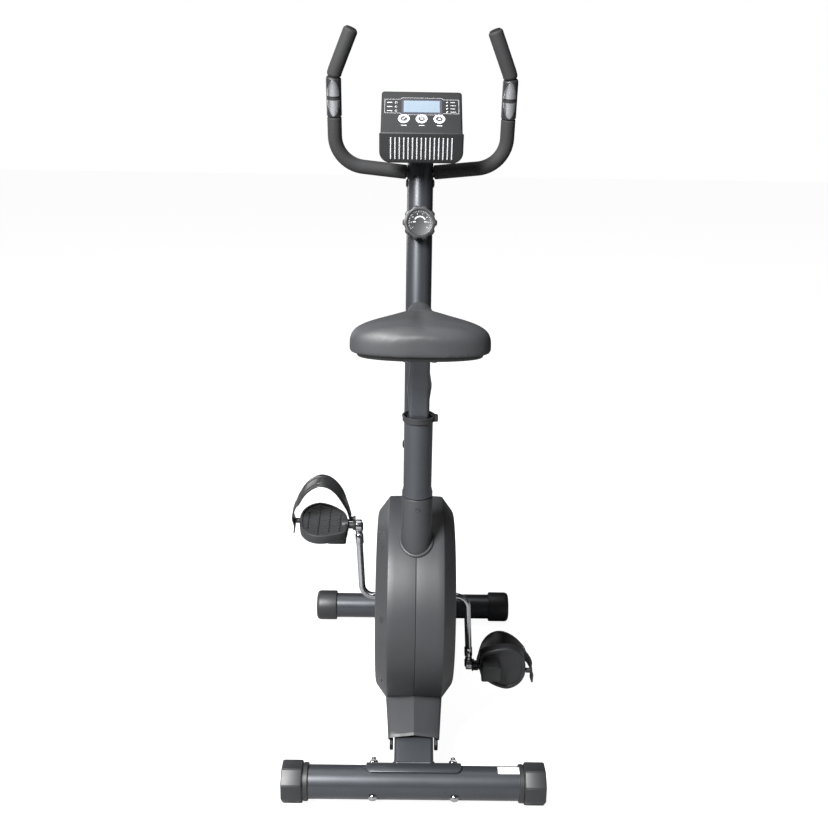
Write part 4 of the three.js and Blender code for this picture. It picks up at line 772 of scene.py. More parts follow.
def rearShroud(word, side):
    # half of the cover over the rear of the beam: a facet that rises to the middle, and a side wall
    place = footFrame("rear")
    rows = []
    stations = [0.0, 0.004, 0.012, 0.03, 0.06, 0.10, 0.155]
    for distance in stations:
        share = distance / 0.155
        half = shroud["halfStart"] + (shroud["halfEnd"] - shroud["halfStart"]) * share
        tuck = 0.0025 if distance == 0 else 0.0
        ridge, edge = shroud["ridge"] - tuck, shroud["edge"] - tuck
        across = [(0.00015, ridge - 0.0006), (0.0008, ridge - 0.0001), (0.003, ridge - 0.0007),
                  (half * 0.5, (ridge + edge) / 2), (half - 0.007, edge + 0.0013), (half - 0.0025, edge - 0.0008),
                  (half - 0.0005, edge - 0.0045), (half, edge - 0.010), (half, 0.0), (half, -shroud["low"] + 0.004),
                  (half - 0.003, -shroud["low"])]
        row = []
        for x, up in across:
            start = shroud["start"] + 0.64 * max(0.0, 0.018 - up)  # the side walls are cut back below
            row.append(place @ Vector((side * x, start + (shroud["end"] - start) * share, up)))
        rows.append(row)
    count = len(rows[0])
    vertices = [v for row in rows for v in row]
    faces = []
    for r in range(len(rows) - 1):
        for i in range(count - 1):
            face = (r * count + i, r * count + i + 1, (r + 1) * count + i + 1, (r + 1) * count + i)
            faces.append(face if side < 0 else tuple(reversed(face)))
    half = newPiece("shroudSkin", vertices, faces, "housingPlastic", 30, False)
    thickened(half, shroud["wall"], 30)
    edge = shroud["halfStart"]
    start = shroud["start"] + 0.001
    hookRings = []
    for distance, grow in ((-shroud["hook"], -0.0012), (-shroud["hook"] + 0.001, 0), (0.010, 0), (0.014, -0.001)):
        low = place @ Vector((side * (edge - 0.0075 - grow), start + distance, 0.004))
        high = place @ Vector((side * (edge - 0.0005 + grow), start + distance, 0.004))
        hookRings.append(slabRing(low, high, place.to_3x3() @ Vector((0, 0, 1)), 0.010 + grow, 0.002))
    hook = loft("shroudHook", hookRings, "housingPlastic", 30)
    return joinPieces(word + "Shroud", [half, hook])


for word, side in bothSides:
    keep(rearShroud(word, side), "frame", word + "_rear_shroud")
print("lower frame made")

# housing
housing = {
    "rear": (-0.080, 0.275, 0.203),   # centre y, centre z, radius
    "front": (0.110, 0.250, 0.160),
    "bandHalf": 0.054,
    "sideHalf": 0.076,
    "bevel": 0.034,
    "wall": 0.0026,
    "screws": (36, 78, 122, 168, 205),  # degrees round the left bevel
}


def housingOutline(inset, rearSteps=110, frontSteps=70):
    (y0, z0, r0), (y1, z1, r1) = housing["rear"], housing["front"]
    tilt = math.atan2(z1 - z0, y1 - y0)
    spread = math.acos((r0 - r1) / math.hypot(y1 - y0, z1 - z0))
    points = []
    for i in range(rearSteps + 1):
        angle = tilt + spread + (2 * math.pi - 2 * spread) * i / rearSteps
        points.append((y0 + (r0 - inset) * math.cos(angle), z0 + (r0 - inset) * math.sin(angle)))
    for i in range(frontSteps + 1):
        angle = tilt - spread + 2 * spread * i / frontSteps
        points.append((y1 + (r1 - inset) * math.cos(angle), z1 + (r1 - inset) * math.sin(angle)))
    return points


def housingShell(word, side):
    band, half, bevel = housing["bandHalf"], housing["sideHalf"], housing["bevel"]
    rows = [(0.0002, 0.0014), (0.0004, 0.0005), (0.0010, 0.0001), (0.0020, 0.0), (0.020, 0.0), (0.040, 0.0002),
            (band - 0.004, 0.0006), (band - 0.0015, 0.0012), (band + 0.0005, 0.0030), (band + 0.0025, 0.0062),
            (half - 0.0032, bevel - 0.0060), (half - 0.0013, bevel - 0.0022), (half - 0.0003, bevel + 0.0010),
            (half, bevel + 0.0040), (half + 0.0004, bevel + 0.012), (half + 0.0004, bevel + 0.0135),
            (half - 0.0012, bevel + 0.0148), (half - 0.0012, bevel + 0.016)]
    rings = [[Vector((side * x, y, z)) for y, z in housingOutline(inset)] for x, inset in rows]
    y0, z0 = housing["rear"][:2]
    outer = rings[-1]
    for share, x, radius in ((0.4, half - 0.0008, 0.060), (0.75, half - 0.0002, 0.048), (1.0, half + 0.0002, 0.040),
                             (1.0, half + 0.0022, 0.0385), (1.0, half + 0.0024, 0.024), (1.0, half + 0.0012, 0.0205),
                             (1.0, half - 0.004, 0.019)):
        ring = []
        for p in outer:
            angle = math.atan2(p.z - z0, p.y - y0)
            target = Vector((side * x, y0 + radius * math.cos(angle), z0 + radius * math.sin(angle)))
            ring.append(Vector((side * x, p.y, p.z)).lerp(target, share))
        rings.append(ring)
    count = len(rings[0])
    vertices = [v for ring in rings for v in ring]
    faces = ringFaces(len(rings), count, False)
    if side > 0:
        faces = [tuple(reversed(face)) for face in faces]
    shell = newPiece(word + "Housing", vertices, faces, "housingPlastic", 24, False)
    centre = Vector((0, y0, z0))
    face = shell.data.polygons[4 * count + 5]
    if face.normal.dot(face.center - centre) < 0:
        shell.data.flip_normals()
    return thickened(shell, housing["wall"], 24)


def recessScrew(finish, cup, head):
    # a cross-head screw in a shallow cup, facing +Z
    ring = lathe("screwCup", [(cup, -0.002), (cup + 0.0012, 0.0), (cup + 0.001, 0.0007), (cup, 0.0009),
                              (cup - 0.0008, 0.0005), (cup - 0.001, -0.0012), (head, -0.0014)], finish,
                 Matrix.Identity(4), 28)
    top = lathe("screwHead", [(head, -0.0016), (head, -0.0006), (head * 0.85, 0.0), (0.0002, 0.0003)], finish,
                Matrix.Identity(4), 28)
    bars = []
    for turn in (0, 90):
        place = Matrix.Rotation(math.radians(turn), 4, "Z")
        outline = roundedOutline(head * 1.3, head * 0.32, head * 0.1, 2)
        bars.append(loft("screwSlot", [[place @ Vector((x, y, z)) for x, y in outline] for z in (-0.0003, 0.0006)],
                         finish))
    return joinPieces("screw", [ring, top, *bars])


def housingScrews():
    y0, z0, r0 = housing["rear"]
    band, half, bevel = housing["bandHalf"], housing["sideHalf"], housing["bevel"]
    outward = Vector((bevel, half - band, 0)).normalized()  # towards the side, and away from the centre
    points, turns = [], []
    for degrees in housing["screws"]:
        angle = math.radians(degrees + 90)
        radial = Vector((0, math.cos(angle), math.sin(angle)))
        middle = Vector((-(band + half) / 2, y0, z0)) + radial * (r0 - bevel * 0.52)
        normal = Vector((-outward.x, 0, 0)) + radial * outward.y
        points.append(middle + normal * 0.0002)
        turns.append(tuple(normal.to_track_quat("Z", "Y").to_euler()))
    return repeated("housingScrews", recessScrew("housingPlastic", 0.0042, 0.003), points, turns, "housingPlastic")


for word, side in bothSides:
    keep(housingShell(word, side), "frame", word + "_housing_shell")
keep(housingScrews(), "frame")

collar = {"radius": 0.0286, "top": 0.395, "flange": 0.0034, "screwAt": 0.378}


def seatTubeCollar():
    radius, top = collar["radius"], collar["top"]
    profile = [(0.0272, 0.27), (radius, 0.27), (radius, top - 0.0025), (radius - 0.0004, top - 0.0008),
               (0.0278, top), (0.0272, top)]
    neck = lathe("collarNeck", profile, "housingPlastic", seatAxis, 72, joined=True)
    y0, z0, r0 = housing["rear"]
    points = []
    reach = radius + 0.0016
    for i in range(72):
        angle = 2 * math.pi * i / 72
        low, high = 0.20, 0.42  # where the collar meets the housing, found by halving
        while high - low > 1e-9:
            middle = (low + high) / 2
            p = seatAxis @ Vector((radius * math.cos(angle), radius * math.sin(angle), middle))
            inside = math.hypot(p.y - y0, p.z - z0) < r0
            low, high = (middle, high) if inside else (low, middle)
        points.append(seatAxis @ Vector((reach * math.cos(angle), reach * math.sin(angle), low)))
    flange = tubeAlong("collarFlange", points, collar["flange"], "housingPlastic", 20, closed=True)
    place = seatAxis @ Matrix.Translation((0, -radius, collar["screwAt"])) @ Matrix.Rotation(math.radians(90), 4, "X")
    point = place @ Vector((0, 0, 0.0004))
    hole = repeated("collarScrew", recessScrew("housingPlastic", 0.0032, 0.0022), [point],
                    [tuple(place.to_euler())], "housingPlastic")
    return joinPieces("seatTubeCollar", [neck, flange, hole])


keep(seatTubeCollar(), "frame", "seat_tube_cover")
print("housing made")

# seat tube, sleeve and lock
seatTube = {"radius": 0.026, "length": 0.541, "bossRadius": 0.011, "knobAt": 0.507}
tubeSteps = [(0, 0, -0.02), (0, 0, 0.396), (0, 0, 0.3975), (0, 0, 0.403), (0, 0, 0.412), (0, 0, 0.54)]
tubeGirths = [1, 1, 1.09, 1.09, 1, 1]
tubeBody = tubeAlong("seatTubeBody", [seatAxis @ Vector(p) for p in tubeSteps], seatTube["radius"], "framePaint", 96,
                     girths=tubeGirths, sharp=50)
bossPlace = seatAxis @ Matrix.Translation((0, 0, seatTube["knobAt"])) @ Matrix.Rotation(math.radians(-90), 4, "X")
boss = lathe("lockBoss", [(0.0055, 0.020), (0.013, 0.026), (0.0122, 0.0285), (seatTube["bossRadius"], 0.030),
                          (seatTube["bossRadius"], 0.0395), (0.0104, 0.0405), (0.0055, 0.0405)], "framePaint",
             bossPlace, 40, joined=True)
keep(joinPieces("seatTube", [tubeBody, boss]), "frame", "seat_tube")

sleeve = {"outer": 0.0292, "inner": 0.0245, "height": 0.0113, "post": 0.0368}


def postSleeve():
    # a ring on top of the tube, with a lip, round a liner that has a square hole
    base, height = seatTube["length"] + 0.0003, sleeve["height"]
    outer, inner = sleeve["outer"], sleeve["inner"]
    profile = [(inner, base), (outer - 0.0012, base), (outer, base + 0.0014), (outer, base + height - 0.0030),
               (outer + 0.0008, base + height - 0.0022), (outer + 0.0008, base + height - 0.0006),
               (outer, base + height), (outer - 0.0022, base + height), (outer - 0.0032, base + height - 0.0008),
               (inner + 0.0014, base + height - 0.0030), (inner, base + height - 0.0042)]
    rim = lathe("sleeveRim", profile, "trimPlastic", seatAxis, 80, joined=True)
    square = roundedOutline(sleeve["post"], sleeve["post"], 0.0063, 15)
    rings = []
    for z, roundShare in ((base + height - 0.0052, 1), (base + height - 0.0052, 0), (0.42, 0), (0.42, 1)):
        ring = []
        for x, y in square:
            reach = 0.0246 / math.hypot(x, y) if roundShare else 1.0
            ring.append(seatAxis @ Vector((x * reach, y * reach, z)))
        rings.append(ring)
    liner = loft("sleeveLiner", rings, "trimPlastic", 30, joined=True)
    lugRings = []
    for z, grow in ((base + 0.0005, -0.001), (base + 0.0012, 0), (base + height - 0.0016, 0),
                    (base + height - 0.0008, -0.001)):
        lugRings.append([seatAxis @ Vector((outer + 0.0010 + x, y, z))
                         for x, y in roundedOutline(0.0095 + 2 * grow, 0.017 + 2 * grow, 0.003 + grow, 4)])
    lug = loft("sleeveLug", lugRings, "trimPlastic")
    return joinPieces("postSleeve", [rim, liner, lug])


keep(postSleeve(), "frame", "seat_post_sleeve")


def lobedKnob(name, matrix, radius, lobes, depth, base, height, dish, finish="trimPlastic", around=120):
    shape = lambda angle: 1 + depth / radius * math.tanh(2.2 * math.cos(lobes * angle))
    top = base + height
    rows = [(radius * 0.45, base, 0), (radius * 0.90, base, 0.6), (radius * 0.975, base + 0.0008, 0.9),
            (radius, base + 0.0025, 1), (radius, top - 0.0042, 1), (radius * 0.985, top - 0.0018, 0.9),
            (radius * 0.945, top - 0.0004, 0.5), (radius * 0.90, top, 0.1), (radius * 0.80, top, 0),
            (radius * 0.775, top - dish * 0.7, 0), (radius * 0.74, top - dish, 0), (radius * 0.02, top - dish, 0)]
    rings = []
    for reach, z, share in rows:
        ring = []
        for i in range(around):
            angle = 2 * math.pi * i / around
            r = reach * (1 + (shape(angle) - 1) * share)
            ring.append(matrix @ Vector((r * math.cos(angle), r * math.sin(angle), z)))
        rings.append(ring)
    return loft(name, rings, finish, 28)


lockGrip = lobedKnob("lockGrip", bossPlace, 0.0222, 6, 0.0016, 0.0413, 0.0235, 0.0012)
lockPin = tubeAlong("lockPin", [bossPlace @ Vector((0, 0, 0.0190)), bossPlace @ Vector((0, 0, 0.0425))], 0.0044,
                    "trimPlastic", 32, soften=0.001)
keep(joinPieces("seatLockKnob", [lockGrip, lockPin]), "seat_lock", "seat_lock_knob")
print("seat tube made")

# seat post, pan and cushion
post = {"size": 0.036, "corner": 0.0055, "bottom": 0.336, "kink": 0.608, "lean": 18, "upper": 0.0648,
        "bulge": 0.0044}


def sidePoints(outline):
    # the outline with points along its straight sides, so that they can bow
    points = []
    for (x0, y0), (x1, y1) in zip(outline, outline[1:] + outline[:1]):
        count = max(1, round(math.hypot(x1 - x0, y1 - y0) / 0.003))
        points += [(x0 + (x1 - x0) * i / count, y0 + (y1 - y0) * i / count) for i in range(count)]
    return points


def seatPost():
    # a square tube pressed back at its kink, where its sides bulge and a crease shows
    lean = math.radians(post["lean"])
    corner = Vector((0, 0, post["kink"]))
    end = corner + Vector((0, -math.sin(lean), math.cos(lean))) * post["upper"]
    path = [Vector((0, 0, post["bottom"])), Vector((0, 0, post["bottom"] + 0.001))]
    path += [Vector((0, 0, z)) for z in (0.40, 0.50, 0.56, 0.580, 0.592)]
    path += roundedPath([Vector((0, 0, 0.594)), corner, corner.lerp(end, 0.25)], 0.022, 8)[1:-1]
    path += [corner.lerp(end, s) for s in (0.28, 0.42, 0.6, 0.8, 1.0)]
    outline = sidePoints(roundedOutline(post["size"], post["size"], post["corner"], 6))
    rings = []
    for i, point in enumerate(path):
        ahead = (path[min(i + 1, len(path) - 1)] - path[max(i - 1, 0)]).normalized()
        out = Vector((0, ahead.z, -ahead.y))
        near = math.exp(-((point - corner).length / 0.022) ** 2)
        upper = 1 - 0.05 * min(1.0, max(0.0, (point.z - post["kink"]) / 0.05))
        ring = []
        for x, y in outline:
            belly = post["bulge"] * near * max(0.0, 1 - (y / 0.018) ** 2) * math.copysign(1, x)
            ring.append(seatAxis @ (point + Vector((x * upper + belly * min(1.0, abs(x) / 0.012), 0, 0))
                                    + out * y * (1 - 0.035 * near)))
        rings.append(ring)
    return loft("seatPost", rings, "framePaint", 26)


keep(seatPost(), "seat", "seat_post")

seat = {
    "width": 0.249, "rear": -0.332, "nose": -0.068, "noseWidth": 0.058, "widest": -0.268,
    "bottom": 0.8212, "height": 0.063, "rim": 0.009, "groove": 0.0045,
    "voxel": 0.004, "pressure": 4.0, "cap": 0.005, "start": 0.970,
}


def seatHalf(y):
    rear, nose, widest = seat["rear"], seat["nose"], seat["widest"]
    if y <= widest:
        t = (widest - y) / (widest - rear)
        return seat["width"] / 2 * math.sqrt(max(0.0, 1 - t ** 2.6))
    t = (y - widest) / (nose - widest)
    wing = (seat["width"] - seat["noseWidth"]) / 4 * (1 + math.cos(math.pi * min(1, t / 0.74)))
    tip = math.sqrt(max(0.0, 1 - ((t - 0.84) / 0.16) ** 2)) if t > 0.84 else 1.0
    return (wing + seat["noseWidth"] / 2) * tip


def seatTop(y):
    # height of the crown above the underside, from the tail to the nose
    t = (y - seat["rear"]) / (seat["nose"] - seat["rear"])
    rows = ((0.0, 0.62), (0.10, 0.84), (0.22, 0.93), (0.40, 0.93), (0.60, 0.94), (0.78, 0.98), (0.90, 0.96),
            (1.0, 0.72))
    for (t0, h0), (t1, h1) in zip(rows, rows[1:]):
        if t <= t1:
            share = (t - t0) / (t1 - t0)
            return seat["height"] * (h0 + (h1 - h0) * (3 * share ** 2 - 2 * share ** 3))
    return seat["height"] * rows[-1][1]


def seatRing(y, size, steps=44):
    half = max(seatHalf(y) * size, 0.0006)
    rim, top = seat["rim"], seatTop(y) * size
    t = (y - seat["rear"]) / (seat["nose"] - seat["rear"])
    flat = 0.50 + 0.25 * t  # the wings are flatter on top than the nose
    low = seat["bottom"] + (1 - size) * 0.02
    points = []
    for i in range(steps + 1):
        angle = math.pi * (1 - i / steps)
        x = half * math.copysign(abs(math.cos(angle)) ** 0.82, math.cos(angle))
        points.append(Vector((x, y, low + rim + (top - rim) * math.sin(angle) ** flat)))
    tuck = min(0.0025, half * 0.3)
    under = [(half, rim * 0.55), (half - tuck * 0.35, rim * 0.15), (half - tuck, 0.0)]
    points += [Vector((x, y, low + z)) for x, z in under]
    points += [Vector((-x, y, low + z)) for x, z in reversed(under)]
    return points


def makeCushion():
    rings = []
    steps = 54
    middle = (seat["rear"] + seat["nose"]) / 2
    for i in range(steps + 1):
        share = 0.5 - 0.5 * math.cos(math.pi * i / steps)
        y = seat["rear"] + 0.0006 + (seat["nose"] - seat["rear"] - 0.0012) * share
        ring = seatRing(y, seat["start"])
        rings.append([Vector((p.x, middle + (p.y - middle) * seat["start"], p.z)) for p in ring])
    cushion = loft("seatCushion", rings, "seatCover", 60)
    remesh = cushion.modifiers.new("remesh", "REMESH")
    remesh.mode = "VOXEL"
    remesh.voxel_size = seat["voxel"]
    baked(cushion, 180)
    smooth = cushion.modifiers.new("smooth", "SMOOTH")
    smooth.factor = 0.5
    smooth.iterations = 3
    baked(cushion, 180)
    puffUp(cushion)
    return cushion


def puffUp(cushion):
    # the cover swells over its foam; the underside is held by the pan
    mesh = cushion.data
    held = cushion.vertex_groups.new(name="held")
    held.add([v.index for v in mesh.vertices if v.co.z < seat["bottom"] + 0.004], 1.0, "REPLACE")
    rest = [v.co.copy() for v in mesh.vertices]
    cloth = cushion.modifiers.new("cloth", "CLOTH")
    settings = cloth.settings
    settings.quality = 6
    settings.mass = 0.4
    settings.tension_stiffness = 20
    settings.compression_stiffness = 20
    settings.bending_stiffness = 2
    settings.use_pressure = True
    settings.uniform_pressure_force = seat["pressure"]
    settings.vertex_group_mass = "held"
    settings.effector_weights.gravity = 0
    cloth.point_cache.frame_start = 1
    cloth.point_cache.frame_end = 20
    for step in range(1, 21):
        scene.frame_set(step)
    evaluated = cushion.evaluated_get(bpy.context.evaluated_depsgraph_get())
    moved = [v.co.copy() for v in evaluated.data.vertices]
    cushion.modifiers.clear()
    cushion.vertex_groups.clear()
    for vertex, before, after in zip(mesh.vertices, rest, moved):
        shift = after - before
        if shift.length > seat["cap"]:
            shift = shift.normalized() * seat["cap"]
        vertex.co = before + shift
    scene.frame_set(1)


def creaseCushion(cushion):
    # the soft channel down the middle, deepest behind the nose
    subdivision = cushion.modifiers.new("subdivision", "SUBSURF")
    subdivision.levels = subdivision.render_levels = 1
    baked(cushion, 180)
    for vertex in cushion.data.vertices:
        p = vertex.co
        if p.z < seat["bottom"] + 0.02:
            continue
        t = (p.y - seat["rear"]) / (seat["nose"] - seat["rear"])
        along = max(0.0, math.sin(math.pi * min(1.0, max(0.0, (t - 0.05) / 0.80)))) ** 0.7
        vertex.co.z -= seat["groove"] * along * math.exp(-(p.x / 0.015) ** 2)
    return cushion


cushion = creaseCushion(makeCushion())
keep(cushion, "seat", "seat_cushion")
print("cushion made")

pan = {"thick": 0.0075}


def seatPan():
    # the moulded pan under the cushion, a lip round its edge, and ribs below
    low = seat["bottom"] - 0.0003 - pan["thick"]
    middle = (seat["rear"] + seat["nose"]) / 2
    def outline(size, z):
        ring = []
        steps = 60
        for i in range(2 * steps):
            k = i if i <= steps else 2 * steps - i
            share = 0.5 - 0.5 * math.cos(math.pi * k / steps)
            y = seat["rear"] + 0.0004 + (seat["nose"] - seat["rear"] - 0.0008) * share
            x = seatHalf(y) * size * (1 if i <= steps else -1)
            ring.append(Vector((x, middle + (y - middle) * size, z)))
        return ring
    rows = [(0.80, low + 0.0015), (0.84, low), (0.862, low + 0.0004), (0.872, low + 0.002), (0.877, low + 0.005),
            (0.877, low + pan["thick"] - 0.0008), (0.870, low + pan["thick"])]
    body = loft("panBody", [outline(size, z) for size, z in rows], "trimPlastic")
    rib = loft("panRib", [[Vector((x, y, z)) for x, y in roundedOutline(0.0026 - g, 0.13 - g, 0.0011, 2)]
                          for z, g in ((0.0, 0.0), (-0.0038, 0.0), (-0.0045, 0.0008))], "trimPlastic")
    spots = [(x, -0.205, low + 0.002) for x in (-0.066, -0.050, 0.050, 0.066)]
    ribs = repeated("panRibs", rib, spots, [(0, 0, 0)] * 4, "trimPlastic")
    return joinPieces("seatPan", [body, ribs])


keep(seatPan(), "seat", "seat_pan")


def seatClamp():
    # the plate welded on the post, and the four bolts that hold the pan
    top = seatAxis @ Vector((0, -math.sin(math.radians(post["lean"])) * post["upper"],
                             post["kink"] + math.cos(math.radians(post["lean"])) * post["upper"]))
    low = seat["bottom"] - 0.0003 - pan["thick"] - 0.0040
    rows = ((0.003, low + 0.0004), (0, low + 0.001), (0, low + 0.0036), (0.0006, low + 0.0040))
    plate = loft("clampPlate", [[Vector((x * (1 - g / 0.03), top.y - 0.002 + y * (1 - g / 0.05), z))
                                 for x, y in roundedOutline(0.064, 0.096, 0.008, 5)] for g, z in rows], "framePaint")
    return plate, top, low


clampPlate, postTop, clampLow = seatClamp()
keep(clampPlate, "seat")
clampBolt = lathe("clampBolt", [(0.0066, 0.001), (0.0070, 0.0), (0.0070, -0.0006), (0.0058, -0.0009), (0.0058, -0.0042),
                                (0.0048, -0.0050), (0.0002, -0.0050)], "zincSteel", Matrix.Identity(4), 6)
clampSpots = [(sx * 0.024, postTop.y - 0.002 + sy * 0.036, clampLow) for sx in (-1, 1) for sy in (-1, 1)]
keep(repeated("clampBolts", clampBolt, clampSpots, [(0, 0, 0)] * 4, "zincSteel"), "seat")
print("seat made")

# mast, bolts and tension knob
mast = {"radius": 0.027, "from": 0.305, "to": 1.005, "stub": 0.0247, "lowerBolt": 0.390, "upperBolt": 0.938}
mastBody = tubeAlong("mastBody", [mastAxis @ Vector((0, 0, z)) for z in (mast["from"], 0.6, mast["to"] - 0.001)],
                     mast["radius"], "framePaint", 96)
keep(mastBody, "frame", "mast")
stub = tubeAlong("mastStub", [mastAxis @ Vector((0, 0, z)) for z in (0.01, 0.3, 0.44)], mast["stub"], "framePaint", 80)
keep(stub, "frame")
mastEnd = [(0.0002, 0.0022), (0.018, 0.0020), (0.0245, 0.0010), (0.0262, -0.0008), (0.0266, -0.0030), (0.0230, -0.0032)]
plug = lathe("mastPlug", [(r, mast["to"] + h) for r, h in mastEnd], "trimPlastic", mastAxis, 64)
keep(plug, "frame")


def mastBolt(at, name, node):
    pieces = []
    for side in (-1, 1):
        place = mastAxis @ Matrix.Translation((side * (mast["radius"] + 0.0002), 0, at)) @ Matrix.Rotation(
            math.radians(90 * side), 4, "Y")
        pieces.append(lathe("boltEnd", [(0.0084, -0.001), (0.0088, 0.0003), (0.0085, 0.0009), (0.0070, 0.0019),
                                        (0.0045, 0.0026), (0.0020, 0.0028), (0.0016, 0.0022), (0.0002, 0.0022)],
                            "blackPaint", place, 36))
    keep(joinPieces(name, pieces), "frame", node)


mastBolt(mast["lowerBolt"], "lowerMastBolt", "lower_mast_bolt")
mastBolt(mast["upperBolt"], "upperMastBolt", "upper_mast_bolt")

knob = {"at": 0.853, "base": 0.0298, "baseHeight": 0.0350, "radius": 0.0338, "tooth": 0.0018, "teeth": 10,
        "from": 0.0355, "height": 0.0170, "strokes": 8}
knobPlace = mastAxis @ Matrix.Translation((0, 0, knob["at"])) @ Matrix.Rotation(math.radians(90), 4, "X")


def knobBase():
    # a round foot whose lower edge follows the mast
    rings = []
    for share, reach in ((0.0, 1.0), (0.0, 1.0), (0.9, 1.0), (1.0, 0.965)):
        ring = []
        for i in range(72):
            angle = 2 * math.pi * i / 72
            x, y = knob["base"] * reach * math.cos(angle), knob["base"] * reach * math.sin(angle)
            floor = math.sqrt(max(0.0, 0.0268 ** 2 - x * x)) if abs(x) < 0.0268 else 0.0
            low = max(floor, 0.0150)
            ring.append(knobPlace @ Vector((x, y, low + (knob["baseHeight"] - low) * share)))
        rings.append(ring)
    return loft("tensionKnobBase", rings[1:], "trimPlastic", 30)


keep(knobBase(), "frame", "tension_knob_base")
knobGrip = lobedKnob("knobGrip", knobPlace, knob["radius"], knob["teeth"], knob["tooth"], knob["from"],
                     knob["height"], 0.0014, around=200)
knobShaft = tubeAlong("knobShaft", [knobPlace @ Vector((0, 0, 0.0125)), knobPlace @ Vector((0, 0, 0.0400))], 0.0059,
                      "trimPlastic", 32)
keep(joinPieces("tensionKnob", [knobGrip, knobShaft]), "tension_knob", "tension_knob")
knobFace = knobPlace @ Matrix.Translation((0, 0, knob["from"] + knob["height"] - 0.0014))


def flatShape(name, outlines, plane, finish, thick=0.00025):
    # thin raised print: closed outlines in a plane
    vertices, faces = [], []
    for outline in outlines:
        start, count = len(vertices), len(outline)
        vertices += [plane @ Vector((x, y, -0.0001)) for x, y in outline]
        vertices += [plane @ Vector((x, y, thick)) for x, y in outline]
        faces.append(tuple(start + i for i in reversed(range(count))))
        faces.append(tuple(start + count + i for i in range(count)))
        faces += [(start + i, start + (i + 1) % count, start + count + (i + 1) % count, start + count + i)
                  for i in range(count)]
    return newPiece(name, vertices, faces, finish, 30)


def strip(points, width):
    # a band of even width along points
    left, right = [], []
    points = [Vector(p).to_2d() for p in points]
    for i, p in enumerate(points):
        ahead = (points[min(i + 1, len(points) - 1)] - points[max(i - 1, 0)]).normalized()
        out = Vector((-ahead.y, ahead.x)) * width / 2
        left.append(p + out)
        right.append(p - out)
    return [tuple(p) for p in left + right[::-1]]


def arcPoints(radius, start, end, steps=20, centre=(0, 0)):
    return [(centre[0] + radius * math.cos(math.radians(start + (end - start) * i / steps)),
             centre[1] + radius * math.sin(math.radians(start + (end - start) * i / steps))) for i in range(steps + 1)]


def knobPrint():
    outlines = [strip(arcPoints(0.0118, 28, 152), 0.0026), strip([(-0.0150, 0.0010), (-0.0086, 0.0010)], 0.0018),
                strip([(0.0086, 0.0010), (0.0150, 0.0010)], 0.0018)]
    for i in range(knob["strokes"]):
        angle = math.radians(215 - 250 * i / (knob["strokes"] - 1))
        x, y = math.cos(angle), math.sin(angle)
        outlines.append(strip([(0.0168 * x, 0.0168 * y), (0.0186 * x, 0.0186 * y)], 0.0011 + 0.0001 * i))
    pieces = [flatShape("knobArrows", outlines, knobFace, "printInk")]
    marks = chainPiece("knobMarks", [(0, 0, 0)], "printInk", edges=False)
    runTree(marks, dialTree, {"Count": 29, "Radius": 0.0222, "First Angle": math.radians(-35),
                              "Sweep": math.radians(250), "Length": 0.0022, "Width": 0.0006, "Depth": 0.0005,
                              "Finish": materials["printInk"]})
    baked(marks)
    marks.data.transform(knobFace)
    return joinPieces("knobPrint", [*pieces, marks])


keep(knobPrint(), "tension_knob")
print("mast made")

# handlebar
bar = {"radius": 0.011, "slope": 6, "armHalf": 0.176, "shoulder": 0.197, "topHalf": 0.139, "top": 0.286,
       "bends": (0.058, 0.064, 0.060, 0.064, 0.058), "foam": 0.0146}
armX, armZ = bar["armHalf"], bar["armHalf"] * math.tan(math.radians(bar["slope"]))
barPath = [barPlane @ p for p in roundedPath(
    [(-bar["topHalf"], 0, bar["top"]), (-armX, 0, bar["shoulder"]), (-armX, 0, armZ), (0, 0, 0), (armX, 0, armZ),
     (armX, 0, bar["shoulder"]), (bar["topHalf"], 0, bar["top"])], bar["bends"], 14)]
barHalf = lengthsAlong(barPath)[-1] / 2
keep(tubeAlong("handlebarTube", barPath, bar["radius"], "blackPaint", 32), "frame", "handlebar")
sensor = {"middle": 0.2915, "length": 0.078, "radius": 0.0152, "plateHalf": 0.0350, "gap": 0.0040}


def halfStretch(side, start, end):
    # part of the bar, given as distances from its middle
    if side < 0:
        return list(reversed(pathStretch(barPath, barHalf - end, barHalf - start)))
    return pathStretch(barPath, barHalf + start, barHalf + end)


def sensorPlates(side):
    # two half ovals of plate on the side that faces the rider, with a band between them
    middle, plateHalf = sensor["middle"], sensor["plateHalf"]
    path = halfStretch(side, middle - 0.045, middle + 0.045)
    lengths = lengthsAlong(path)
    toRider = (barPlane.to_3x3() @ Vector((0, -1, 0))).normalized()
    plates = []
    for start, end in ((-plateHalf, -sensor["gap"]), (sensor["gap"], plateHalf)):
        rings = []
        steps = 22
        for i in range(steps + 1):
            place = start + (end - start) * i / steps
            centre = pointAlong(path, lengths, 0.045 + place)
            ahead = (pointAlong(path, lengths, 0.045 + place + 0.001) - centre).normalized()
            aside = ahead.cross(toRider).normalized()
            spread = math.radians(58) * max(0.0, 1 - (place / (plateHalf + 0.0004)) ** 2) ** 0.7 + 0.01
            rise = 0.0013 * (1 - (place / plateHalf) ** 4)
            outer, inner = [], []
            for k in range(17):
                angle = spread * (k / 8 - 1)
                direction = toRider * math.cos(angle) + aside * math.sin(angle)
                soft = 1 - (k / 8 - 1) ** 6
                outer.append(centre + direction * (sensor["radius"] + 0.0002 + rise * soft))
                inner.append(centre + direction * (sensor["radius"] - 0.0012))
            rings.append(outer + inner[::-1])
        plates.append(loft("plate", rings, "silverPlate", 40))
    return plates


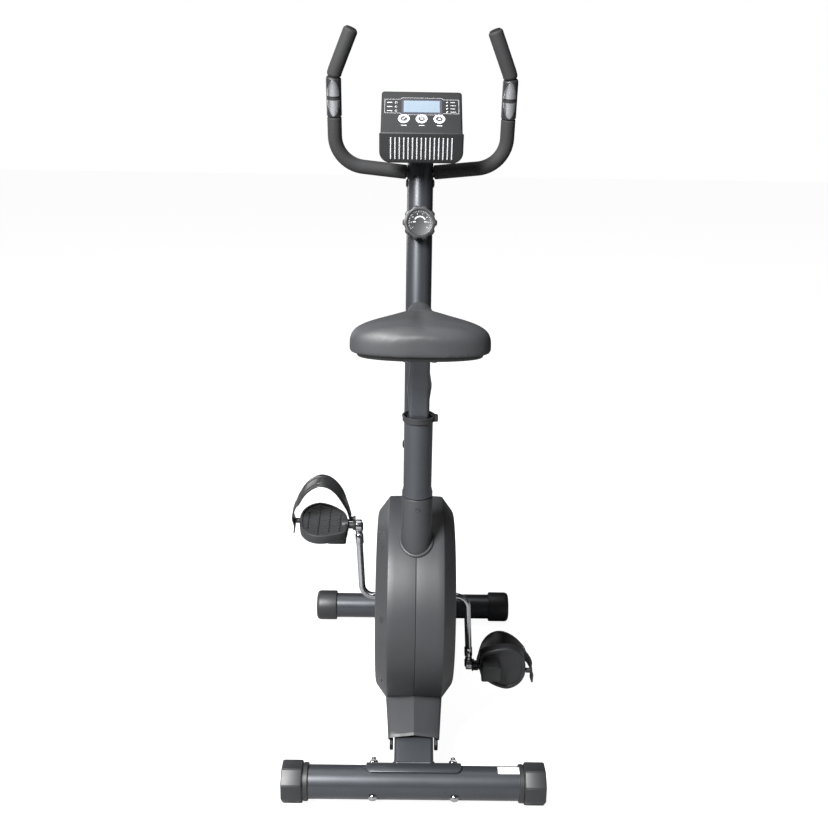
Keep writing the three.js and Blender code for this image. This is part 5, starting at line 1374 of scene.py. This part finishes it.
for word, side in bothSides:
    low, high = sensor["middle"] - sensor["length"] / 2, sensor["middle"] + sensor["length"] / 2
    lower = tubeAlong(word + "LowerFoam", halfStretch(side, 0.0285, low - 0.0003), bar["foam"], "foamRubber", 48,
                      soften=0.0028)
    keep(lower, "frame", word + "_lower_foam")
    upper = tubeAlong(word + "UpperFoam", halfStretch(side, high + 0.0003, barHalf - 0.0004), bar["foam"], "foamRubber",
                      48, soften=0.006)
    keep(upper, "frame", word + "_upper_foam")
    body = halfStretch(side, low, high)
    swell = [1 + 0.03 * math.sin(math.pi * d / sensor["length"]) for d in lengthsAlong(body)]
    housingTube = tubeAlong(word + "PulseSensor", body, sensor["radius"], "trimPlastic", 48, soften=0.004, girths=swell)
    keep(housingTube, "frame", word + "_pulse_sensor")
    lowerPlate, upperPlate = sensorPlates(side)
    lowerPlate.name, upperPlate.name = word + "LowerPlate", word + "UpperPlate"
    keep(lowerPlate, "frame", word + "_sensor_lower_plate")
    keep(upperPlate, "frame", word + "_sensor_upper_plate")
print("handlebar made")

# console
console = {
    "low": (0.100, 1.125), "waist": (0.084, 1.182), "panel": 0.115,
    "half": 0.083, "panelHalf": 0.0805, "corner": 0.022, "thick": 0.039,
    "screen": (0.072, 0.038, 0.071),   # width, height, middle along the panel
    "buttons": (0.035, 0.038, 0.0115),  # pitch, place along the panel, radius
    "ribs": {"count": 15, "pitch": 0.0086, "length": 0.043, "width": 0.0024, "proud": 0.0019},
}


def consoleBody():
    lowY, lowZ = console["low"]
    waistY, waistZ = console["waist"]
    half, corner = console["half"], console["corner"]
    lower = math.hypot(waistY - lowY, waistZ - lowZ)
    rings = []
    # the lower part, with round bottom corners
    for distance in (0.0, 0.0006, 0.0016, 0.003, 0.005, 0.0075, 0.0105, 0.014, 0.018, 0.022, 0.030, 0.042,
                     lower - 0.0025, lower - 0.0012):
        share = distance / lower
        y, z = lowY + (waistY - lowY) * share, lowZ + (waistZ - lowZ) * share
        inset = cornerInset(distance + 0.0005, corner)
        edge = 0.0022 * max(0.0, 1 - distance / 0.003) ** 2
        back = (lowY + console["thick"] + 0.004 * share - edge, z + 0.002 - 0.008 * share)
        rings.append(slabRing((0, y + edge, z), (0, *back), (1, 0, 0), half - inset, 0.004, 4))
    # the sloping panel, a little narrower
    for distance in (0.0008, 0.0020, 0.02, 0.05, 0.08, 0.106, 0.111, 0.1135, 0.1146, 0.115):
        front = panelPlane @ Vector((0, distance, 0))
        share = distance / console["panel"]
        edge = 0.0022 * max(0.0, (distance - 0.111) / 0.004) ** 2
        back = Vector((0, 0.143 + 0.0415 * share, 1.174 + 0.0698 * share))
        top = front.lerp(back, edge / 0.03)
        rings.append(slabRing(top, back, (1, 0, 0), console["panelHalf"] - edge, 0.0045, 4))
    return loft("consoleBody", rings, "consolePlastic", 26)


def consoleMount():
    rings = []
    for y, grow in ((0.1360, 0.0), (0.1500, 0.0), (0.1700, -0.001), (0.1780, -0.003)):
        outline = roundedOutline(0.040 + 2 * grow, 0.024 + 2 * grow, 0.004, 4)
        rings.append([Vector((x, y, 1.148 + z)) for x, z in outline])
    return loft("consoleMount", rings, "trimPlastic")


keep(joinPieces("console", [consoleBody(), consoleMount()]), "frame", "console_face", "console_back")


def consoleGrille():
    # raised ribs in the light grey of the print: partly their own lighter plastic, partly painted highlight standing in
    # for the light their edges catch
    ribs = console["ribs"]
    lowY, lowZ = console["low"]
    waistY, waistZ = console["waist"]
    tilt = math.atan2(waistZ - lowZ, waistY - lowY)
    middle = Vector((0, (lowY + waistY) / 2, (lowZ + waistZ) / 2)) + Vector((0, 0, -0.0008))
    rows = ((0.0, 0.0008), (0.0, -ribs["proud"] + 0.0006), (0.0006, -ribs["proud"]))
    outlines = [(roundedOutline(ribs["width"] - 2 * g, ribs["length"] - 2 * g, 0.0008, 3), z) for g, z in rows]
    rib = loft("grilleRib", [[Vector((x, y, -z)) for x, y in outline] for outline, z in outlines], "printInk")
    turn = (tilt, 0, 0)
    spots = [(ribs["pitch"] * (i - (ribs["count"] - 1) / 2), middle.y, middle.z) for i in range(ribs["count"])]
    return repeated("consoleGrille", rib, spots, [turn] * ribs["count"], "printInk")


keep(consoleGrille(), "frame")


def panelSheet(name, width, height, corner, middle, low, high, finish, edge=0.0004):
    rows = ((edge, low), (0, low), (0, high - edge), (edge, high))
    rings = []
    for g, z in rows:
        outline = roundedOutline(width - 2 * g, height - 2 * g, max(corner - g, 0.0002), 5)
        rings.append([panelPlane @ Vector((x, y + middle, z)) for x, y in outline])
    return loft(name, rings, finish)


width, height, middle = console["screen"]
border = panelSheet("screenBorder", width + 0.010, height + 0.003, 0.004, middle, -0.0030, 0.0007, "screenBorder")
keep(border, "frame")
glass = panelSheet("displayGlass", width, height - 0.006, 0.0012, middle + 0.0005, -0.0020, 0.0011, "screenGlass")
keep(glass, "frame", "console_window")


def screenSegments():
    # blank digits of the display, as faint as when it is off
    outlines = []
    for i in range(5):
        x0 = -0.0285 + i * 0.0125
        for x1, y1, wide, tall in ((0, 0.0075, 0.006, 0.0008), (0, 0, 0.006, 0.0008), (0, -0.0075, 0.006, 0.0008),
                                   (-0.0036, 0.0038, 0.0008, 0.006), (0.0036, 0.0038, 0.0008, 0.006),
                                   (-0.0036, -0.0038, 0.0008, 0.006), (0.0036, -0.0038, 0.0008, 0.006)):
            outlines.append([(x0 + x1 + sx * wide / 2, y1 + sy * tall / 2)
                             for sx, sy in ((-1, -1), (1, -1), (1, 1), (-1, 1))])
    place = panelPlane @ Matrix.Translation((0.004, middle, 0.0011))
    return flatShape("displaySegments", outlines, place, "screenGlass", 0.00012)


keep(screenSegments(), "frame")


def panelPrint():
    # the stepped outline round the display, the boxes beside it and short bars for captions
    top, low = middle + 0.0245, middle - 0.0215
    wide, side, boxTop, boxLow = 0.0430, 0.0735, middle + 0.0205, middle - 0.0175
    step = 0.004
    loop = [(-side, boxLow), (-side, boxTop), (-wide, boxTop), (-wide + step, top), (wide - step, top),
            (wide, boxTop), (side, boxTop), (side, boxLow), (wide, boxLow), (wide - step, low), (-wide + step, low),
            (-wide, boxLow)]
    outlines = []
    for a, b in zip(loop, loop[1:] + loop[:1]):
        outlines.append(strip([a, b], 0.0006))
    for row in range(3):
        y = middle + 0.0115 - row * 0.0115
        outlines.append(strip([(-0.0690, y), (-0.0585, y)], 0.0018))
        outlines.append(strip(arcPoints(0.0022, 0, 330, 12, (-0.0510, y)), 0.0008))
    for row in range(4):
        y = middle + 0.0135 - row * 0.0088
        outlines.append(strip([(0.0485, y - 0.0015), (0.0515, y + 0.0015)], 0.0020))
        outlines.append(strip([(0.0570, y), (0.0570 + 0.009 + 0.002 * (row % 2), y)], 0.0013))
    pitch, along = console["buttons"][:2]
    for i in (-1, 0, 1):
        outlines.append(strip([(i * pitch - 0.0055, along - 0.0175), (i * pitch + 0.0055, along - 0.0175)], 0.0017))
    return flatShape("panelPrint", outlines, panelPlane, "printInk", 0.00015)


keep(panelPrint(), "frame")
buttonIcons = {
    "left": [strip([(-0.0030, -0.0024), (0.0026, 0.0026)], 0.0026),
             strip([(-0.0036, 0.0006), (-0.0010, -0.0030)], 0.0012)],
    "middle": [strip([(-0.0032, y), (0.0032, y)], 0.0011) for y in (-0.0020, 0.0, 0.0020)],
    "right": [[(-0.0034, -0.0022), (0.0034, -0.0022), (0.0, 0.0034)]],
}
for i, word in enumerate(("left", "middle", "right")):
    pitch, along, radius = console["buttons"]
    place = panelPlane @ Matrix.Translation(((i - 1) * pitch, along, 0))
    ringShape = lathe("buttonRing", [(0.0068, 0.0006), (radius - 0.0004, -0.0034), (radius, -0.0028), (radius, 0.0006),
                                     (radius - 0.0005, 0.0013), (radius - 0.0014, 0.0016), (0.0080, 0.0016),
                                     (0.0073, 0.0013), (0.0069, 0.0006)], "buttonWhite", place, 56, joined=True)
    ringShape.name = word + "ButtonRing"
    keep(ringShape, word + "_button", word + "_console_button")
    centre = lathe(word + "ButtonCentre", [(0.0069, -0.0030), (0.0070, 0.0004), (0.0066, 0.0009), (0.0002, 0.0012)],
                   "screenBorder", place, 40)
    keep(centre, word + "_button")
    icon = flatShape(word + "ButtonIcon", buttonIcons[word], place @ Matrix.Translation((0, 0, 0.00095)), "printInk",
                     0.0004)
    keep(icon, word + "_button")
print("console made")

# crank and pedals
crank = {"y": -0.080, "z": 0.275, "length": 0.152, "radius": 0.0068, "axle": 0.106, "end": 0.114, "bend": 0.024}


def makeCrank():
    y, z, reach = crank["y"], crank["z"], crank["length"]
    path = roundedPath([(-crank["end"], y, z + reach - 0.010), (-crank["axle"], y, z), (crank["axle"], y, z),
                        (crank["end"], y, z - reach + 0.010)], crank["bend"], 16)
    pieces = [tubeAlong("crankRod", path, crank["radius"], "chrome", 40)]
    for side in (-1, 1):
        away = Vector((side * (crank["end"] - crank["axle"]), 0, -side * reach)).normalized()
        tip = Vector((side * crank["end"], y, z - side * reach))
        turn = away.to_track_quat("Z", "Y").to_matrix().to_4x4()
        arm = Matrix.Translation(tip) @ turn
        pieces.append(lathe("crankSleeve", [(0.0060, -0.040), (0.0074, -0.0385), (0.0082, -0.0365), (0.0082, -0.0195),
                                            (0.0074, -0.0180), (0.0068, -0.0170), (0.0070, -0.0120), (0.0088, -0.0090),
                                            (0.0088, 0.0)], "chrome", arm, 40))
        eye = [(0.0074, -0.0054), (0.0106, -0.0062), (0.0118, -0.0052), (0.0120, -0.0030), (0.0120, 0.0030),
               (0.0118, 0.0052), (0.0106, 0.0062), (0.0074, 0.0054)]
        pieces.append(lathe("crankEye", eye, "chrome", Matrix.Translation(tip) @ alongX, 48, joined=True))
    return joinPieces("crankArms", pieces)


keep(makeCrank(), "crank", "crank")

pedal = {
    "inset": 0.025, "half": 0.0105, "pitch": {"left": 18, "right": -78},
    "outline": ((-3, -26), (-3, 5), (2, 26), (12, 38), (26, 49), (42, 57), (58, 60), (73, 54), (85, 42), (92, 25),
                (93, 5), (91, -12), (86, -27), (74, -40), (58, -47), (40, -47), (22, -42), (6, -36)),
    "weight": (0.038, 0.038, 0.024),
    "strap": ((-8, 8), (-4, 28), (2, 48), (9, 66), (20, 84), (34, 96), (50, 99), (66, 91), (80, 76), (90, 58),
              (102, 34), (107, 12), (104, -8), (106, -26)),
    "strapMiddle": 0.015, "strapHalf": 0.0195, "strapThick": 0.0030,
}


def pedalPlace(word, side):
    return placeAt((side * crank["end"], crank["y"], crank["z"] - side * crank["length"]), pedal["pitch"][word])


def offsetLoop(points, distance):
    # a closed outline drawn in by a distance
    count = len(points)
    turnSum = sum(points[i][0] * points[(i + 1) % count][1] - points[(i + 1) % count][0] * points[i][1]
                  for i in range(count))
    sign = 1 if turnSum > 0 else -1
    result = []
    for i in range(count):
        ahead = Vector(points[(i + 1) % count]).to_2d() - Vector(points[i - 1]).to_2d()
        ahead.normalize()
        result.append((points[i][0] - sign * ahead.y * distance, points[i][1] + sign * ahead.x * distance))
    return result


def insideLoop(x, y, loop):
    inside = False
    for (x0, y0), (x1, y1) in zip(loop, loop[1:] + loop[:1]):
        if (y0 > y) != (y1 > y) and x < (x1 - x0) * (y - y0) / (y1 - y0) + x0:
            inside = not inside
    return inside


def pedalBody(word, side):
    place = pedalPlace(word, side)
    corners = [(side * (pedal["inset"] + out / 1000), toe / 1000, 0) for out, toe in pedal["outline"]]
    loop = [(p.x, p.y) for p in throughPoints(corners, 7, True)]
    half = pedal["half"]
    rows = [(0.011, -half + 0.0025), (0.0085, -half + 0.0025), (0.0075, -half), (0.0035, -half),
            (0.0012, -half + 0.0008), (0, -half + 0.003), (0, half - 0.003), (0.0010, half - 0.0008),
            (0.0028, half), (0.0055, half), (0.0066, half - 0.0028), (0.012, half - 0.0028)]
    slab = loft("pedalSlab", [[place @ Vector((x, y, z)) for x, y in offsetLoop(loop, d)] for d, z in rows],
                "trimPlastic", 28)
    bar = loft("treadBar", [[Vector((x, y, z)) for x, y in roundedOutline(0.0046 - g, 0.0078 - g, 0.0016, 3)]
                            for z, g in ((-0.002, 0), (0.0016, 0), (0.0026, 0.001))], "trimPlastic")
    cross = loft("treadCross", [[Vector((x, y, z)) for x, y in roundedOutline(0.0136 - g, 0.0020 - g, 0.0005, 1)]
                                for z, g in ((-0.002, 0), (0.0004, 0), (0.0010, 0.0006))], "trimPlastic")
    inner = offsetLoop(loop, 0.0105)
    floor = half - 0.0028
    turn = tuple(place.to_euler())
    bars, crosses, soles = [], [], []
    for i in range(4):
        x = side * (pedal["inset"] + 0.0135 + i * 0.0210)
        for k in range(12):
            y = -0.046 + k * 0.0094
            if insideLoop(x, y, inner):
                bars.append(place @ Vector((x, y, floor)))
                soles.append(place @ Vector((x, y, -floor - 0.0006)))
            if k % 2 and insideLoop(x + side * 0.0105, y + 0.0047, inner):
                crosses.append(place @ Vector((x + side * 0.0105, y + 0.0047, floor)))
    top = repeated("treadBars", bar, bars, [turn] * len(bars), "trimPlastic")
    lines = repeated("treadLines", cross, crosses, [turn] * len(crosses), "trimPlastic")
    width, length, drop = pedal["weight"]
    weightRings = []
    foot = -half - drop
    for z, grow in ((-half + 0.003, 0), (foot + 0.0015, 0), (foot + 0.0004, -0.0010), (foot, -0.0022)):
        weightRings.append([place @ Vector((side * (pedal["inset"] + width / 2) + x, y, z))
                            for x, y in roundedOutline(width + 2 * grow, length + 2 * grow, 0.004, 4)])
    weight = loft("pedalWeight", weightRings, "trimPlastic", 30)
    hubPlace = place @ alongX
    near = side * (pedal["inset"] - 0.0045)
    hub = lathe("pedalHub", [(0.0078, near), (0.0118, near), (0.0128, near + side * 0.0012),
                             (0.0128, near + side * 0.012), (0.0078, near + side * 0.012)], "trimPlastic", hubPlace, 40,
                joined=True)
    return joinPieces(word + "PedalBody", [slab, top, lines, weight, hub])


def pedalStrap(word, side):
    place = pedalPlace(word, side)
    points = [(side * (pedal["inset"] + out / 1000), 0, up / 1000) for out, up in pedal["strap"]]
    line = throughPoints(points, 9)
    lengths = lengthsAlong(line)
    total = lengths[-1]
    rings, ridges = [], ([], [])
    toeAxis = place.to_3x3() @ Vector((0, 1, 0))
    for i, p in enumerate(line):
        share = lengths[i] / total
        ahead = (line[min(i + 1, len(line) - 1)] - line[max(i - 1, 0)]).normalized()
        out = Vector((-side * ahead.z, 0, side * ahead.x))
        rise = min(1.0, max(0.0, (share - 0.08) / 0.14))
        fall = min(1.0, max(0.0, (0.74 - share) / 0.05))
        wide = pedal["strapHalf"] * (0.62 + 0.38 * min(rise * rise * (3 - 2 * rise), fall * fall * (3 - 2 * fall)))
        if i == 0 or i == len(line) - 1:
            wide -= 0.002
        centre = p + Vector((0, pedal["strapMiddle"], 0))
        thick = pedal["strapThick"] / 2
        rings.append(slabRing(place @ (centre - out * thick), place @ (centre + out * thick), toeAxis, wide, 0.0012))
        if 0.16 < share < 0.71:
            for ridge, offset in zip(ridges, (-0.0105, 0.0105)):
                ridge.append(place @ (centre + out * (thick + 0.0001) + Vector((0, offset, 0))))
    pieces = [loft("strapBand", rings, "strapRubber", 36)]
    pieces += [tubeAlong("strapRidge", ridge, 0.00085, "strapRubber", 10, soften=0.0008) for ridge in ridges]
    return joinPieces(word + "PedalStrap", pieces)


def strapPegs(word, side):
    # the pegs that hold the strap's two ends on the pedal's edges
    place = pedalPlace(word, side)
    pieces = []
    for out, up, direction in ((-0.0085, 0.0040, -1), (0.0985, -0.0015, 1)):
        spot = place @ Matrix.Translation((side * (pedal["inset"] + out), pedal["strapMiddle"], up)) @ alongX
        ends = [(0.0002, -0.004), (0.0052, -0.004), (0.0052, 0.0060), (0.0070, 0.0066), (0.0070, 0.0086),
                (0.0058, 0.0094), (0.0002, 0.0096)]
        pieces.append(lathe("strapPeg", [(r, side * direction * h) for r, h in ends], "trimPlastic", spot, 28))
    return joinPieces(word + "StrapPegs", pieces)


def pedalSpindle(word, side):
    place = pedalPlace(word, side) @ alongX
    profile = [(0.0030, -0.0088), (0.0056, -0.0086), (0.0067, -0.0070), (0.0067, 0.0066), (0.0092, 0.0068),
               (0.0096, 0.0078), (0.0096, 0.0108), (0.0088, 0.0116), (0.0068, 0.0118),
               (0.0068, 0.060), (0.0055, 0.062), (0.0003, 0.062)]
    return lathe(word + "PedalSpindle", [(r, side * h) for r, h in profile], "blackPaint", place, 40)


for word, side in bothSides:
    keep(pedalBody(word, side), word + "_pedal", word + "_pedal")
    keep(pedalStrap(word, side), word + "_pedal", word + "_pedal_strap")
    keep(strapPegs(word, side), word + "_pedal")
    keep(pedalSpindle(word, side), "crank", word + "_pedal_spindle")
print("pedals made")

# CAD pieces that stay, all inside the housing and the mast
innerFinish = {
    "mast_socket": "framePaint", "crank_shell": "framePaint", "drive_pulley": "trimPlastic", "flywheel": "castIron",
    "drive_belt": "beltRubber", "tension_cable": "beltRubber", "magnet_bracket": "zincSteel",
}
for node, finish in innerFinish.items():
    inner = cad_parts[node]
    inner.data.materials.clear()
    inner.data.materials.append(materials[finish])

# floor, light and background
light = {
    "key": {"place": (-1.7, -2.5, 3.0), "aim": (0, 0, 0.6), "width": 1.3, "height": 1.5, "power": 560},
    "fill": {"place": (3.0, -2.2, 1.6), "aim": (0, 0, 0.6), "width": 1.6, "height": 2.0, "power": 3},
    "top": {"place": (-0.4, 0.4, 3.4), "aim": (0, 0, 0.4), "width": 2.0, "height": 2.0, "power": 25},
    "rim": {"place": (-2.2, 2.6, 1.7), "aim": (0, 0, 0.8), "width": 1.2, "height": 2.0, "power": 25},
}
room = {"background": 1.0, "ambient": 0.055, "floorGlow": 0.95}


def areaLight(name, place, aim, width, height, power):
    data = bpy.data.lights.new(name, "AREA")
    data.shape = "RECTANGLE"
    data.size, data.size_y = width, height
    data.energy = power
    lamp = bpy.data.objects.new(name, data)
    turn = (Vector(aim) - Vector(place)).to_track_quat("-Z", "Y").to_matrix().to_4x4()
    lamp.matrix_world = Matrix.Translation(place) @ turn
    scene.collection.objects.link(lamp)


def makeWorld():
    # a white backdrop that gives the bike only part of its light
    world = bpy.data.worlds.new("paleRoom")
    world.use_nodes = True
    tree = world.node_tree
    seen = addNode(tree, "ShaderNodeLightPath").outputs["Is Camera Ray"]
    strength = addNode(tree, "ShaderNodeMapRange", {0: seen, 3: room["ambient"], 4: room["background"]}).outputs[0]
    tree.links.new(strength, tree.nodes["Background"].inputs["Strength"])
    tree.nodes["Background"].inputs["Color"].default_value = (1, 1, 1, 1)
    scene.world = world


def makeFloor():
    size, low = 30, -0.0005
    corners = [(-size, -size, low), (size, -size, low), (size, size, low), (-size, size, low)]
    sheet = newPiece("floor", corners, [(0, 1, 2, 3)], "floorPaper", recalculate=False)
    tree = materials["floorPaper"].node_tree
    seen = addNode(tree, "ShaderNodeLightPath").outputs["Is Camera Ray"]
    glow = addNode(tree, "ShaderNodeMath", {0: seen, 1: room["floorGlow"]}, operation="MULTIPLY").outputs[0]
    shader = tree.nodes["Principled BSDF"]
    shader.inputs["Emission Color"].default_value = (1, 1, 1, 1)
    tree.links.new(glow, shader.inputs["Emission Strength"])


for name, row in light.items():
    areaLight(name, **row)
makeWorld()
makeFloor()
scene.view_settings.view_transform = "Standard"
print("light and floor made")
